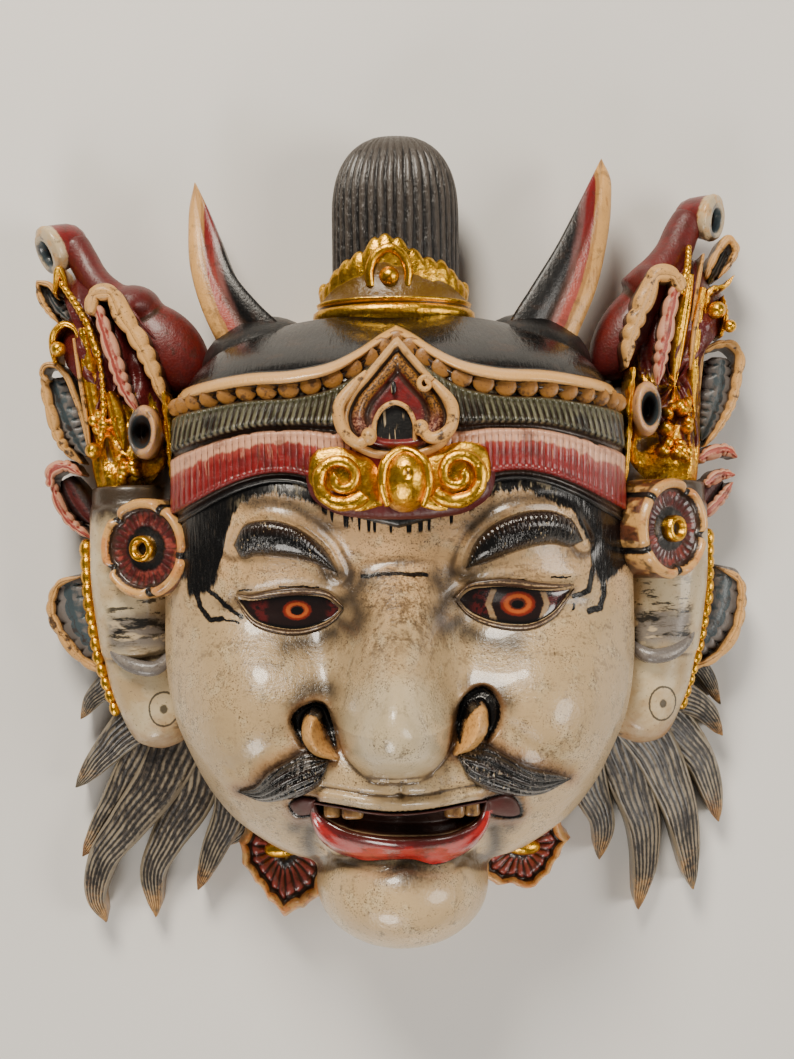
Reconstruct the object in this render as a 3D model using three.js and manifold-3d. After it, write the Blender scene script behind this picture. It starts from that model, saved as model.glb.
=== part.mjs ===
// A carved and painted wooden dance mask in the Balinese manner, lying on its back with the face up.
// It is one carving: face, ears, topknot, crown, side wings, ear lobes and beard locks in one piece of wood,
// hollowed from behind for the wearer's face.
// Millimetres. X runs to the viewer's right, Y to the crown of the head, Z up out of the face.
// The origin is on the surface that the rim lies on, below the middle of the bounding box.
import * as THREE from "three";
import { mergeVertices } from "three/addons/utils/BufferGeometryUtils.js";
import Module from "manifold-3d";

const wasm = await Module();
wasm.setup();

// Driving dimensions, in millimetres
const TOP = 146.8; // topknot's top, and the lowest lock is as far below the origin
const RIM_EDGE = 34; // height of the head's side wall before it turns over to the face
const CAVITY = { middle: -22, halfWidth: 66, halfHeight: 84, depth: 62 };
const NOSE_Y = -56.5; // the middle of the nose's bulb, from which the head's rings spread
const NOSE_ENDS = { under: -80, root: -8 }; // heights up the face at which the nose starts and ends
const BAND = { halfWidth: 79, columns: 26 };
const TOPKNOT = { bottom: 64, halfWidth: 23.5, halfDepth: 17, middle: 24, flutes: 20 };
const CROWN = { bottom: 77, halfWidth: 29.5, halfDepth: 22, side: 17, front: 30, teeth: 22 };
const ROSETTE = { x: 95.5, y: -1, z: 53, radius: 18, tilt: 0.78 };
const BLOCK = 400; // side of the block that the half carving is cut from
const NEAR = 0.01; // corners this near a plane lie on it
const FACES = 9800; // flat faces that the whole carving is cut to

const vec = (x, y, z) => new THREE.Vector3(x, y, z);
const mix = THREE.MathUtils.lerp;
const clamp = THREE.MathUtils.clamp;
const TURN = 2 * Math.PI;

// A smooth function through [place, value] pairs, level past its ends.
function profile(pairs) {
  const places = pairs.map(([place]) => place);
  const values = pairs.map(([, value]) => value);
  const curve = new THREE.CubicInterpolant(places, values, 1);
  return (at) => curve.evaluate(clamp(at, pairs[0][0], pairs.at(-1)[0]))[0];
}

// A closed solid through rings of points, each with as many points, with a flat fan at both ends.
function loft(rings) {
  const count = rings[0].length;
  const points = rings.flat();
  const index = [];
  for (let r = 0; r + 1 < rings.length; r++) {
    for (let i = 0; i < count; i++) {
      const a = r * count + i;
      const b = r * count + ((i + 1) % count);
      index.push(a, b, b + count, a, b + count, a + count);
    }
  }
  const addCap = (ring, first, flip) => {
    const middle = ring.reduce((sum, p) => sum.add(p), vec(0, 0, 0)).divideScalar(count);
    points.push(middle);
    for (let i = 0; i < count; i++) {
      const pair = [first + i, first + ((i + 1) % count)];
      if (flip) pair.reverse();
      index.push(points.length - 1, ...pair);
    }
  };
  addCap(rings[0], 0, true);
  addCap(rings.at(-1), (rings.length - 1) * count, false);
  const geometry = new THREE.BufferGeometry().setFromPoints(points);
  return geometry.setIndex(index);
}

// A three.js geometry as a solid: shared points merged, empty faces dropped, faces turned out.
function solid(geometry) {
  const bare = new THREE.BufferGeometry().setAttribute("position", geometry.getAttribute("position"));
  bare.setIndex(geometry.index);
  const merged = mergeVertices(bare, 1e-3);
  const faces = [];
  for (let i = 0; i < merged.index.count; i += 3) {
    const [a, b, c] = merged.index.array.slice(i, i + 3);
    if (a !== b && b !== c && c !== a) faces.push([a, b, c]);
  }
  const build = (list) =>
    new wasm.Manifold(
      new wasm.Mesh({
        numProp: 3,
        vertProperties: new Float32Array(merged.getAttribute("position").array),
        triVerts: new Uint32Array(list.flat()),
      }),
    );
  const made = build(faces);
  return made.volume() < 0 ? build(faces.map(([a, b, c]) => [a, c, b])) : made;
}

const oval = (angle) => [Math.cos(angle), Math.sin(angle)];

// A tapering blade along a curve through points. Its width lies across the way that it fronts.
function blade(points, { steps = 6, sides = 8, width, depth, front = vec(0, 0, 1), section = oval }) {
  const path = new THREE.CatmullRomCurve3(points.map((p) => vec(...p)));
  const rings = [];
  for (let s = 0; s <= steps; s++) {
    const t = s / steps;
    const middle = path.getPoint(t);
    const side = new THREE.Vector3().crossVectors(path.getTangent(t), front).normalize();
    const out = new THREE.Vector3().crossVectors(side, path.getTangent(t)).normalize();
    const ring = [];
    for (let i = 0; i < sides; i++) {
      const [u, v] = section((TURN * i) / sides, t);
      const across = side.clone().multiplyScalar((u * width(t)) / 2);
      ring.push(middle.clone().add(across).addScaledVector(out, (v * depth(t)) / 2));
    }
    rings.push(ring);
  }
  return loft(rings);
}

function ellipsoid([x, y, z], [rx, ry, rz], segments = 10, rows = 6, turn = 0) {
  const shape = new THREE.SphereGeometry(1, segments, rows);
  shape.applyMatrix4(new THREE.Matrix4().makeScale(rx, ry, rz));
  shape.applyMatrix4(new THREE.Matrix4().makeRotationZ(turn));
  return shape.translate(x, y, z);
}

// A leaf's width: nothing at the tip, full at `full` of its length.
const leaf = (most, root, full = 0.45) => (t) =>
  t < full
    ? mix(root, most, Math.sin((t / full) * Math.PI * 0.5))
    : most * Math.sqrt(Math.max(1 - ((t - full) / (1 - full)) ** 2, 0));

const taper = (start, most, peak) => (t) =>
  t < peak ? mix(start, most, t / peak) : most * (1 - (t - peak) / (1 - peak)) ** 0.8;

// Half the head's width at a height up the face, and how far the face stands up along its middle line
const headHalfWidth = profile([
  [-142, 16], [-133, 25], [-124, 31], [-116, 36], [-110.5, 46], [-102.5, 57], [-91.5, 66], [-77, 74],
  [-63, 80], [-46, 83], [-20, 83], [20, 80], [45, 77], [60, 69], [70, 56], [78, 34],
]);
const middleHeight = profile([
  [-142, 36], [-130, 44], [-120, 54], [-111, 65], [-100, 72], [-85, 74], [-60, 73], [-30, 71], [-10, 76],
  [10, 80], [40, 80], [54, 77], [64, 67], [72, 54], [78, 42],
]);

// Mounds and hollows of the face: [x, y, half width, half length, rise]
const MOUNDS = [
  [50, -60, 42, 46, 16],
  [22, -84, 32, 24, 8],
  [0, -84, 36, 26, 12],
  [0, -103, 38, 15, 9],
  [0, -58, 44, 34, 9],
  [40, 5, 36, 20, 5],
  [36, -27, 30, 22, -3],
  [42, -14, 28, 13, 4],
];

// The nose's ridge at a height up the face: how high and how wide it is, how gently its sides run out, and
// how far below the face they would end
const noseHeight = profile([
  [-80, 84], [-76.5, 101], [-71, 114], [-63, 120.6], [-55, 119.5], [-46, 111], [-37, 101], [-27, 91],
  [-17, 82.5], [-8, 75],
]);
const noseHalfWidth = profile([
  [-80, 12], [-76, 17], [-70, 20], [-62, 21.5], [-53, 23], [-44, 24.5], [-34, 26], [-20, 26], [-8, 20],
]);
const noseSoftness = profile([[-60, 0.5], [-45, 0.8], [-30, 1.3], [-8, 1.6]]);
const noseFoot = profile([[-60, 14], [-45, 8], [-30, 2], [-8, 0.5]]);
const CHIN = { y: -121, z: 46, halfWidth: 30.5, halfLength: 21, rise: 37 };

// The larger of two heights, with a rounded valley of the given width where they cross.
function blendMax(a, b, width) {
  const near = Math.max(width - Math.abs(a - b), 0) / width;
  return Math.max(a, b) + near * near * width * 0.25;
}

// How high the face stands at a place on it.
function faceHeight(x, y) {
  const share = clamp(Math.abs(x) / (headHalfWidth(y) * 1.03), 0, 1);
  let height = RIM_EDGE + (middleHeight(y) - RIM_EDGE) * Math.pow(1 - Math.pow(share, 3), 0.45);
  for (const [middleX, middleY, wide, long, rise] of MOUNDS) {
    const q = ((Math.abs(x) - middleX) / wide) ** 2 + ((y - middleY) / long) ** 2;
    if (q < 1) height += rise * (1 - q) ** 2;
  }
  const ball = 1 - (x / CHIN.halfWidth) ** 2 - ((y - CHIN.y) / CHIN.halfLength) ** 2;
  if (ball > 0) height = blendMax(height, CHIN.z + CHIN.rise * Math.sqrt(ball), 5);
  const across = x / noseHalfWidth(y);
  if (y < NOSE_ENDS.under || y > NOSE_ENDS.root || Math.abs(across) > 1) return height;
  const foot = noseFoot(y);
  const rise = Math.max(noseHeight(y) - height, 0) + foot;
  return blendMax(height, height - foot + rise * (1 - across * across) ** noseSoftness(y), foot);
}

const onFace = (x, y, lift = 0) => [x, y, faceHeight(x, y) + lift];

// The head's outline where it lies on the surface, as a distance from the nose at an angle.
const OUTLINE = [
  [0, -141.5], [15, -139.5], [25, -133], [29.5, -124], [31, -115.5], [44, -110.5], [57, -102.5], [66, -91.5],
  [73, -77], [79, -63], [82.5, -46], [83, -22], [80, 20], [77, 46], [67, 61], [50, 71], [26, 77], [0, 78.5],
];
function outlinePoint(angle) {
  const edge = OUTLINE.map(([x, y]) => vec(x, y, 0));
  const left = edge.slice(1, -1).reverse();
  const loop = new THREE.CatmullRomCurve3([...edge, ...left.map((p) => vec(-p.x, p.y, 0))], true);
  const direction = vec(Math.cos(angle), Math.sin(angle), 0);
  let best = edge[0];
  let most = -2;
  for (let i = 0; i < 360; i++) {
    const p = loop.getPoint(i / 360);
    const aim = p.clone().sub(vec(0, NOSE_Y, 0)).normalize().dot(direction);
    if (aim > most) [most, best] = [aim, p];
  }
  return direction.multiplyScalar(best.distanceTo(vec(0, NOSE_Y, 0)));
}

// The head: rings spread from the nose over the face, then down the side wall to the rim.
function head() {
  const spokes = 72;
  const edges = Array.from({ length: spokes }, (_, i) => outlinePoint((TURN * (i + 0.5)) / spokes));
  const ring = (share, height) =>
    edges.map((edge) => {
      const [x, y] = [edge.x * share, NOSE_Y + edge.y * share];
      return vec(x, y, height ?? faceHeight(x, y));
    });
  const faceRings = Array.from({ length: 28 }, (_, i) => ring(((i + 1) / 28) ** 0.85));
  return solid(loft([...faceRings, ring(1, 22), ring(0.985, 10), ring(0.96, -2)]));
}

function cavity() {
  const { middle, halfWidth, halfHeight, depth } = CAVITY;
  return solid(ellipsoid([0, middle, 0], [halfWidth, halfHeight, depth], 24, 14));
}

function nostril() {
  return ellipsoid([23.5, -63.5, 91], [5, 9.5, 9], 12, 8, -0.45);
}

function brow() {
  const arch = [[21, -13], [28, -6], [38, -1.5], [48, 0], [56, -2], [61, -5]];
  return blade(arch.map(([x, y]) => onFace(x, y, -3)), {
    steps: 12, width: profile([[0, 1], [0.25, 9], [0.6, 13], [0.85, 10], [1, 2]]), depth: () => 13,
    front: vec(0.25, 0, 1),
  });
}

function eye() {
  const ball = ellipsoid(onFace(38.5, -25.2, -4), [20, 7.2, 7], 16, 8, 0.06);
  const lid = (y, wide, deep) =>
    blade([onFace(18.5, -24, -3), onFace(30, y, -2), onFace(45, y, -2), onFace(59.5, -20.5, -3)], {
      steps: 9, sides: 6, width: () => wide, depth: () => deep,
    });
  return [ball, lid(-17.5, 4.5, 13), lid(-33, 2.5, 9)];
}

function moustache() {
  const path = [[19, -74], [28, -75.5], [37, -78.8], [46, -81.8], [56, -84.8]];
  return blade(path.map(([x, y]) => onFace(x, y, -3)), {
    steps: 10, width: profile([[0, 4], [0.2, 13], [0.45, 14.5], [0.75, 9], [1, 1]]), depth: () => 15,
  });
}

// The lips are one roll below the mouth and a thin edge above it; the mouth is a shallow slot.
function lips() {
  const lower = [[-28, -91], [-22, -98.5], [0, -102], [22, -98.5], [28, -91]];
  const upper = [[-37, -86], [-18, -87], [0, -88.5], [18, -87], [37, -86]];
  const roll = (line, wide, lift) =>
    blade(line.map(([x, y]) => onFace(x, y, lift)), {
      steps: 14, width: (t) => wide * (0.5 + 0.5 * Math.sin(Math.PI * t)), depth: () => wide,
    });
  return [roll(lower, 8.5, 0), roll(upper, 3.5, 0)];
}

function mouth() {
  const depth = 13;
  return ellipsoid(onFace(0, -93.5), [27, 5, depth], 20, 8);
}

// Heights on the headband, each at a distance from the middle line
const hairline = profile([[0, 7], [20, 10], [30, 16], [40, 17.5], [50, 16], [60, 12.5], [70, 9], [79, 6]]);
const tiaraEdge = profile([[0, 70], [8, 66.5], [15, 61], [23, 57], [32, 55], [50, 53], [70, 49], [79, 46]]);

// A section across the headband, from hairline to tiara's edge: [share of the way, lift, kind of flute]
const BAND_SECTION = [
  [-0.16, -6, 0], [-0.13, 1.5, 0], [-0.02, 2.5, 0], [0, 5, 1], [0.32, 6, 1], [0.4, 6.5, 1], [0.42, 3, 0],
  [0.45, 5, 1], [0.7, 4.5, 1], [0.73, 2.5, 0], [0.85, 3, 2], [0.88, 2.5, 0], [0.9, 6, 0], [0.96, 8, 0],
  [1.02, 6.5, 0], [1.04, -8, 0],
];
function headband() {
  const { halfWidth, columns } = BAND;
  const rings = [];
  for (let c = -columns; c <= columns; c++) {
    const x = (halfWidth * c) / columns;
    const low = hairline(Math.abs(x));
    const high = tiaraEdge(Math.abs(x));
    rings.push(
      BAND_SECTION.map(([share, lift, flute]) => {
        const groove = c % 2 && flute ? 1.5 : 0;
        const y = mix(low, high, share) - (flute === 2 ? groove * 2 : 0);
        return vec(x, y, faceHeight(x, y) + lift - groove);
      }),
    );
  }
  return loft(rings);
}

// The jewel over the forehead: a boss between two scrolls, under a pointed leaf with curled edges.
function jewel() {
  const front = 91;
  const onPanel = ([x, y]) => [x, y, front - 2];
  const scroll = [[7, 10], [16, 9], [26, 13], [27, 22], [20, 24], [17, 18]].map(onPanel);
  const curl = [[3, 62], [10, 51], [15.5, 41], [15, 31], [8, 31]].map(onPanel);
  return [
    ellipsoid([0, 17, front], [9.5, 12, 8], 14, 8),
    ellipsoid([0, 16, front - 8], [30, 14, 9], 18, 6),
    blade(scroll, { steps: 10, width: taper(9, 9, 0.5), depth: () => 9 }),
    blade([[0, 22, 84], [0, 44, 86], [0, 69, 83]], {
      steps: 6, width: (t) => 38 * (1 - t) ** 0.7, depth: () => 15,
    }),
    blade(curl, { steps: 9, width: profile([[0, 4], [0.5, 7], [0.85, 9], [1, 7]]), depth: () => 10 }),
  ];
}

// An oval section of the topknot or its crown, standing across the head's Y axis.
function drumRing(count, halfWidth, halfDepth, height, reach) {
  return Array.from({ length: count }, (_, i) => {
    const angle = (TURN * i) / count;
    const grow = reach(i, angle);
    const up = TOPKNOT.middle + Math.sin(angle) * halfDepth * grow;
    return vec(Math.cos(angle) * halfWidth * grow, height(i, angle), up);
  });
}

// A fluted drum with a rounded top.
function topknot() {
  const { bottom, halfWidth, halfDepth, flutes } = TOPKNOT;
  const levels = [[bottom, 0.98], [105, 1], [126, 0.99], [136, 0.93], [143, 0.78], [TOP, 0.5]];
  const rings = levels.map(([y, share]) =>
    drumRing(flutes * 2, halfWidth, halfDepth, () => y, (i) => share * (i % 2 ? 0.92 : 1)),
  );
  return loft(rings);
}

// The gilt crown round the topknot: a rolled base under a toothed wall, highest in front.
function crown() {
  const { bottom, halfWidth, halfDepth, side, front, teeth } = CROWN;
  const wall = (i, angle) => mix(side, front, Math.max(Math.sin(angle), 0) ** 2.5) - (i % 2 ? 3 : 0);
  const levels = [[-0.3, 0.9], [0.05, 1], [0.3, 1], [0.4, 0.92], [0.6, 0.98], [1, 0.94]];
  const rings = levels.map(([share, reach]) => {
    const height = (i, angle) => bottom + share * (share < 0.5 ? side : wall(i, angle));
    return drumRing(teeth * 2, halfWidth, halfDepth, height, () => reach);
  });
  return loft(rings);
}

// A pointed ear, hollowed along its front, with a foot that spreads into the skull.
function ear() {
  const hollow = (angle) => {
    const [u, v] = oval(angle);
    return [u, v > 0.1 ? 0.15 + 0.5 * u * u : v];
  };
  return [
    blade([[56, 54, 32], [62, 76, 36], [69, 98, 36], [74, 117, 33], [76, 131, 29]], {
      steps: 10, sides: 12, section: hollow, front: vec(0.35, 0, 1),
      width: profile([[0, 30], [0.3, 18], [0.6, 14], [0.85, 8], [1, 0]]),
      depth: profile([[0, 36], [0.4, 20], [0.8, 10], [1, 0]]),
    }),
    ellipsoid([52, 62, 30], [22, 17, 22], 12, 8, -0.35),
  ];
}

// The red wing behind each temple narrows to a neck, which ends in a curl like a snail's shell.
function wing() {
  const neck = blade([[88, 66, 28], [101, 84, 26], [110, 98, 21], [119, 112, 16]], {
    steps: 6, sides: 12, width: profile([[0, 36], [0.45, 21], [0.75, 15], [1, 14]]),
    depth: profile([[0, 36], [0.5, 28], [1, 18]]),
  });
  const shell = [[0, -9], [0.8, -9], [1, -3], [1, 3], [0.85, 8], [0.6, 9], [0.38, 5], [0.3, 1], [0, 0]];
  const curl = disc(shell, 10.5, 14).translate(120.5, 113, 15);
  return [neck, ellipsoid([82, 66, 26], [19, 27, 22], 16, 10, -0.55), curl];
}

// Leaves of the ear ornament, each [root, tip, width, height of its face, bend across].
const LEAVES = [
  [[105, 24], [116, 84], 11, 41, 3],
  [[94, 42], [104, 90], 9, 43, -2],
  [[82, 54], [101, 90], 7, 48, 2],
  [[110, 27], [129, 66], 17, 27, 5],
  [[104, 6], [129, 27], 15, 25, 4],
  [[106, -52], [131, -18], 17, 22, -4],
  [[114, 82], [130, 104], 9, 24, 3],
  [[84, 10], [84, 44], 6, 48, 1],
];
function ornaments() {
  const plate = blade([[90, 6, 18], [98, 44, 18], [112, 84, 15]], {
    steps: 5, width: profile([[0, 34], [0.5, 36], [1, 18]]), depth: profile([[0, 40], [0.5, 40], [1, 26]]),
  });
  const leaves = LEAVES.map(([root, tip, wide, face, bend]) => {
    const middle = [(root[0] + tip[0]) / 2 + bend, (root[1] + tip[1]) / 2 - bend];
    const points = [[...root, face - 8], [...middle, face - 6], [...tip, face - 9]];
    return blade(points, {
      steps: 6, width: leaf(wide, wide * 0.6, 0.55), depth: profile([[0, 16], [0.6, 14], [1, 3]]),
    });
  });
  const beads = [];
  for (let i = 0; i < 6; i++) {
    const t = i / 5;
    beads.push(ellipsoid([mix(109, 118, t), mix(72, 100, t), mix(34, 24, t)], [4, 4.5, 6], 8, 6));
  }
  const studs = [];
  for (let i = 0; i < 4; i++) {
    studs.push(ellipsoid([mix(109, 113, i / 3), -16 - 13 * i, 20], [5, 7, 9], 8, 6));
  }
  const cup = ellipsoid([90.5, 39, 42], [7, 10, 9], 12, 8, -0.1);
  return [plate, ...leaves, ...beads, ...studs, cup];
}

// A turned disc facing up, its edge given as [share of the radius, height].
function disc(edge, radius, sides) {
  const points = edge.map(([share, up]) => new THREE.Vector2(share * radius, up));
  const shape = new THREE.LatheGeometry(points, sides);
  return shape.applyMatrix4(new THREE.Matrix4().makeRotationX(Math.PI / 2));
}

// The flower-shaped ear stud, turned half sideways.
function rosette() {
  const { x, y, z, radius, tilt } = ROSETTE;
  const edge = [
    [0, -26], [0.7, -26], [0.9, -12], [1, -2], [1, 1], [0.93, 3], [0.84, 1.5], [0.5, -1.5], [0.36, -1],
    [0.34, 3.5], [0.16, 4], [0.14, 1], [0, 1],
  ];
  const flower = disc(edge, radius, 24);
  return flower.applyMatrix4(new THREE.Matrix4().makeRotationY(tilt)).translate(x, y, z);
}

// The long ear lobes, with a fold across them, and the mass that joins them to the head.
function lobe() {
  const drop = blade([[98, 18, 25], [99, -18, 25], [97, -42, 22], [92, -62, 21], [86, -78, 20]], {
    steps: 9, sides: 10, front: vec(0.4, 0, 1),
    width: profile([[0, 28], [0.5, 30], [0.8, 28], [0.95, 19], [1, 10]]), depth: () => 24,
  });
  const fold = blade([[86, -42, 38], [96, -45, 38], [106, -42, 33]], {
    steps: 4, sides: 6, width: taper(7, 6, 0.2), depth: () => 8,
  });
  const joint = ellipsoid([84, -8, 12], [18, 70, 22], 12, 8);
  return [drop, fold, joint];
}

// Beard locks from under the lobe, each [root, bend, bend, tip, width].
const LOCKS = [
  [[98, -40], [108, -47], [117, -55], [125.5, -66], 11],
  [[92, -52], [108, -60], [120, -73], [129.5, -88.5], 15],
  [[86, -60], [104, -76], [119, -92], [128, -109.5], 16],
  [[80, -66], [98, -88], [112, -112], [118.4, -140], 17],
  [[72, -72], [87, -96], [98, -121], [98, 0.2 - TOP], 17],
  [[64, -78], [74, -98], [86, -114], [85, -133], 15],
  [[58, -86], [64, -100], [72, -110], [76, -122], 12],
];
function beard() {
  const ridged = (angle) => {
    const [u, v] = oval(angle);
    return [u, v > 0 ? v * (0.75 + 0.25 * Math.cos(u * 9)) : v];
  };
  const locks = LOCKS.map(([root, bendOne, bendTwo, tip, wide], i) => {
    const rise = 13 + (i % 2) * 3;
    const points = [[...root, rise], [...bendOne, rise], [...bendTwo, rise - 2], [...tip, rise - 5]];
    return blade(points, {
      steps: 8, sides: 12, section: ridged,
      width: leaf(wide, wide * 0.8, 0.4), depth: profile([[0, 16], [0.5, 15], [1, 4]]),
    });
  });
  const fan = ellipsoid([78, -74, 9], [24, 20, 8], 10, 6, -0.7);
  return [...locks, fan];
}

// Leaf pendants behind the jaw, each under a gilt cap.
function pendant() {
  return [
    blade([[42, -98, 22], [46, -116, 20], [46, -139, 14]], {
      steps: 6, width: leaf(31, 20, 0.4), depth: (t) => mix(16, 7, t),
    }),
    ellipsoid([43, -115.5, 29], [7.5, 3.5, 4], 10, 6, -0.1),
  ];
}

// The right half of the carving.
function half() {
  const parts = [
    nostril(), brow(), ...eye(), moustache(), headband(), ...jewel(), topknot(), crown(),
    ...ear(), ...wing(), ...ornaments(), ...lobe(), rosette(), ...beard(), ...pendant(),
  ];
  let carving = head();
  for (const part of parts) carving = carving.add(solid(part));
  carving = carving.subtract(solid(mouth()));
  for (const lip of lips()) carving = carving.add(solid(lip));
  carving = carving.subtract(cavity());
  const block = new THREE.BoxGeometry(BLOCK, BLOCK, BLOCK).translate(BLOCK / 2, 0, BLOCK / 2);
  return outerSkin(carving.intersect(solid(block)));
}

// The wood is solid between the forms, so only the outermost skin is kept.
function outerSkin(made) {
  const skins = made.decompose();
  return skins.reduce((most, next) => (next.volume() > most.volume() ? next : most));
}

// The corners and faces of a solid.
function cornersAndFaces(made) {
  const { vertProperties, triVerts, numProp } = made.getMesh();
  const corners = [];
  for (let i = 0; i < vertProperties.length; i += numProp) {
    corners.push(vec(...vertProperties.slice(i, i + 3)));
  }
  const faces = [];
  for (let i = 0; i < triVerts.length; i += 3) {
    faces.push([...triVerts.slice(i, i + 3)]);
  }
  return { corners, faces };
}

const faceNormal = (a, b, c) => new THREE.Vector3().crossVectors(b.clone().sub(a), c.clone().sub(a));

// Whether a corner is on the rim's plane (1), on the middle plane (2), on both (3) or on neither (0)
const planesOf = ({ x, z }) => (z < NEAR ? 1 : 0) + (x < NEAR ? 2 : 0);

// Where the two ends of an edge may merge without leaving those planes.
function mergePlaces(a, b) {
  const [onA, onB] = [planesOf(a), planesOf(b)];
  if (onA === onB) return [a, b, a.clone().lerp(b, 0.5)];
  if ((onA & onB) === onA) return [b];
  return (onA & onB) === onB ? [a] : [];
}

// The best such place, and its cost: how far it is off the faces round both ends.
function cheapestMerge(a, b, planes) {
  const least = 1e-4 * a.distanceToSquared(b);
  let best = { cost: Infinity };
  for (const place of mergePlaces(a, b)) {
    const off = ({ normal, area, corner }) => area * normal.dot(place.clone().sub(corner)) ** 2;
    const cost = planes.reduce((sum, plane) => sum + off(plane), least);
    if (cost < best.cost) best = { cost, place };
  }
  return best;
}

// Merges edges until the skin has at most `most` faces, each pass starting with the cheapest.
function thin({ corners, faces }, most) {
  while (faces.length > most) {
    const around = corners.map(() => []);
    faces.forEach((face, f) => face.forEach((corner) => around[corner].push(f)));
    const ringOf = (a, b) => [...new Set([...around[a], ...around[b]])];
    const planes = faces.map(([a, b, c]) => {
      const normal = faceNormal(corners[a], corners[b], corners[c]);
      return { area: normal.length() / 2, normal: normal.normalize(), corner: corners[a] };
    });
    const edgesOf = (face) => face.map((a, i) => [a, face[(i + 1) % 3]]);
    const edges = faces.flatMap(edgesOf).filter(([a, b]) => a < b);
    const merges = edges.map(([a, b]) => {
      const ring = ringOf(a, b);
      return { a, b, ring, ...cheapestMerge(corners[a], corners[b], ring.map((f) => planes[f])) };
    });
    merges.sort((one, two) => one.cost - two.cost);
    const touched = new Set();
    const gone = new Set();
    for (const { a, b, ring, place } of merges.slice(0, merges.length / 5)) {
      if (faces.length - gone.size <= most) break;
      if (!place || ring.some((f) => faces[f].some((corner) => touched.has(corner)))) continue;
      const nearB = new Set(around[b].flatMap((f) => faces[f]));
      const shared = new Set(around[a].flatMap((f) => faces[f]).filter((corner) => nearB.has(corner)));
      const turned = ring.some((f) => {
        if (faces[f].includes(a) && faces[f].includes(b)) return false;
        const moved = faces[f].map((corner) => (corner === a || corner === b ? place : corners[corner]));
        const normal = faceNormal(...moved);
        return normal.length() < NEAR / 10 || normal.normalize().dot(planes[f].normal) < 0.5;
      });
      if (shared.size !== 4 || turned) continue;
      for (const f of ring) {
        faces[f].forEach((corner) => touched.add(corner));
        if (faces[f].includes(a) && faces[f].includes(b)) gone.add(f);
        faces[f] = faces[f].map((corner) => (corner === b ? a : corner));
      }
      corners[a] = place.clone();
    }
    if (!gone.size) break;
    faces = faces.filter((face, f) => !gone.has(f));
  }
  return { corners, faces };
}

// The half skin without the faces on the middle plane, and its mirror image, as one skin.
function bothSides({ corners, faces }) {
  const middle = ({ x }) => x < NEAR;
  const open = faces.filter((face) => !face.every((corner) => middle(corners[corner])));
  const right = open.flat().map((corner) => corners[corner]);
  const seamed = right.map((p) => (middle(p) ? vec(0, p.y, p.z) : p));
  const left = [...seamed].reverse().map((p) => vec(-p.x, p.y, p.z));
  const skin = mergeVertices(new THREE.BufferGeometry().setFromPoints([...seamed, ...left]), 1e-4);
  skin.computeVertexNormals();
  return skin;
}

const paint = new THREE.MeshStandardMaterial({ color: 0xb9ab92, roughness: 0.4, metalness: 0 });
const carving = new THREE.Mesh(bothSides(thin(cornersAndFaces(half()), FACES / 2)), paint);
carving.name = "mask";

const group = new THREE.Group();
group.add(carving);

export default group;
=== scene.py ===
"""A carved and painted wooden dance mask, lying on its back, for Blender 4.5.

The mask is one carving, built here as a head and the ornaments cut with it. Shapes are worked out in
millimetres: X to the viewer's right, Y to the crown of the head, Z up out of the face.
"""

import math

import bmesh
import bpy
import numpy as np
from bpy.props import FloatProperty, FloatVectorProperty, IntProperty, PointerProperty
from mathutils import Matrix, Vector


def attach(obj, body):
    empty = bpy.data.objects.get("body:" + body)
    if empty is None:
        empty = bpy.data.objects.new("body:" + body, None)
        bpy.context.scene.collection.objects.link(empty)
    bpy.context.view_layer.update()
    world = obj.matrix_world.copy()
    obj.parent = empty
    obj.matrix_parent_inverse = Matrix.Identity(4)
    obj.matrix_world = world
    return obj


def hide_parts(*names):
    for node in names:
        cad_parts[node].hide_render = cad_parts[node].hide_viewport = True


bl_info = {
    "name": "Carved dance mask",
    "version": (1, 0, 0),
    "blender": (4, 5, 0),
    "location": "View3D > Sidebar > Mask",
    "description": "Builds a carved and painted wooden dance mask, piece by piece",
    "category": "Object",
}

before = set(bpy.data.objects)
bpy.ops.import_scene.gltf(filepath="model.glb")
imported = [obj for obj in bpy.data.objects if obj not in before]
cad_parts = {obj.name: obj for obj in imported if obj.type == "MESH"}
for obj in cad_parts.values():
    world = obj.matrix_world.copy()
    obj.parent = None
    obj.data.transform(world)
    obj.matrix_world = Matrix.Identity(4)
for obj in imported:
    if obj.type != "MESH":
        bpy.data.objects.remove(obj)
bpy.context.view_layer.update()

MM = 0.001
TURN = 2 * math.pi
UP = np.array([0.0, 0.0, 1.0])

# The head's form, in millimetres
NOSE_Y = -56.5
RIM_EDGE = 34.0
CAVITY = {"middle": -22.0, "half_width": 66.0, "half_height": 84.0, "depth": 62.0}
OUTLINE = [
    (0, -145), (15, -142.5), (25, -135), (29.5, -125), (31, -115.5), (44, -110.5), (57, -102.5),
    (66, -91.5), (73, -77), (79, -63), (82.5, -46), (83, -22), (80, 20), (77, 46), (67, 61), (50, 71),
    (26, 77), (0, 78.5),
]
# Soft mounds and dips, alike on both sides: middle (x, y), half width, half length and rise
MOUNDS = [
    (50, -60, 42, 46, 16), (22, -84, 32, 24, 8), (0, -84, 36, 26, 12), (0, -103, 38, 15, 9),
    (0, -58, 44, 34, 9), (40, 5, 36, 20, 5), (36, -27, 30, 22, -3), (42, -14, 28, 13, 4),
]
CHIN = {"y": -122.5, "z": 46.0, "half_width": 30.5, "half_length": 22.5, "rise": 37.0}


def srgb(red, green, blue):
    """A colour given as 0 to 255 on screen, in Blender's linear values."""
    shares = (red / 255, green / 255, blue / 255)
    return tuple(s / 12.92 if s <= 0.04045 else ((s + 0.055) / 1.055) ** 2.4 for s in shares)


# Numbers and lines


def mix(a, b, share):
    return a + (b - a) * share


def smooth(low, high, value):
    """0 below low, 1 above high, and a soft step between."""
    share = np.clip((value - low) / (high - low), 0, 1)
    return share * share * (3 - 2 * share)


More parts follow.
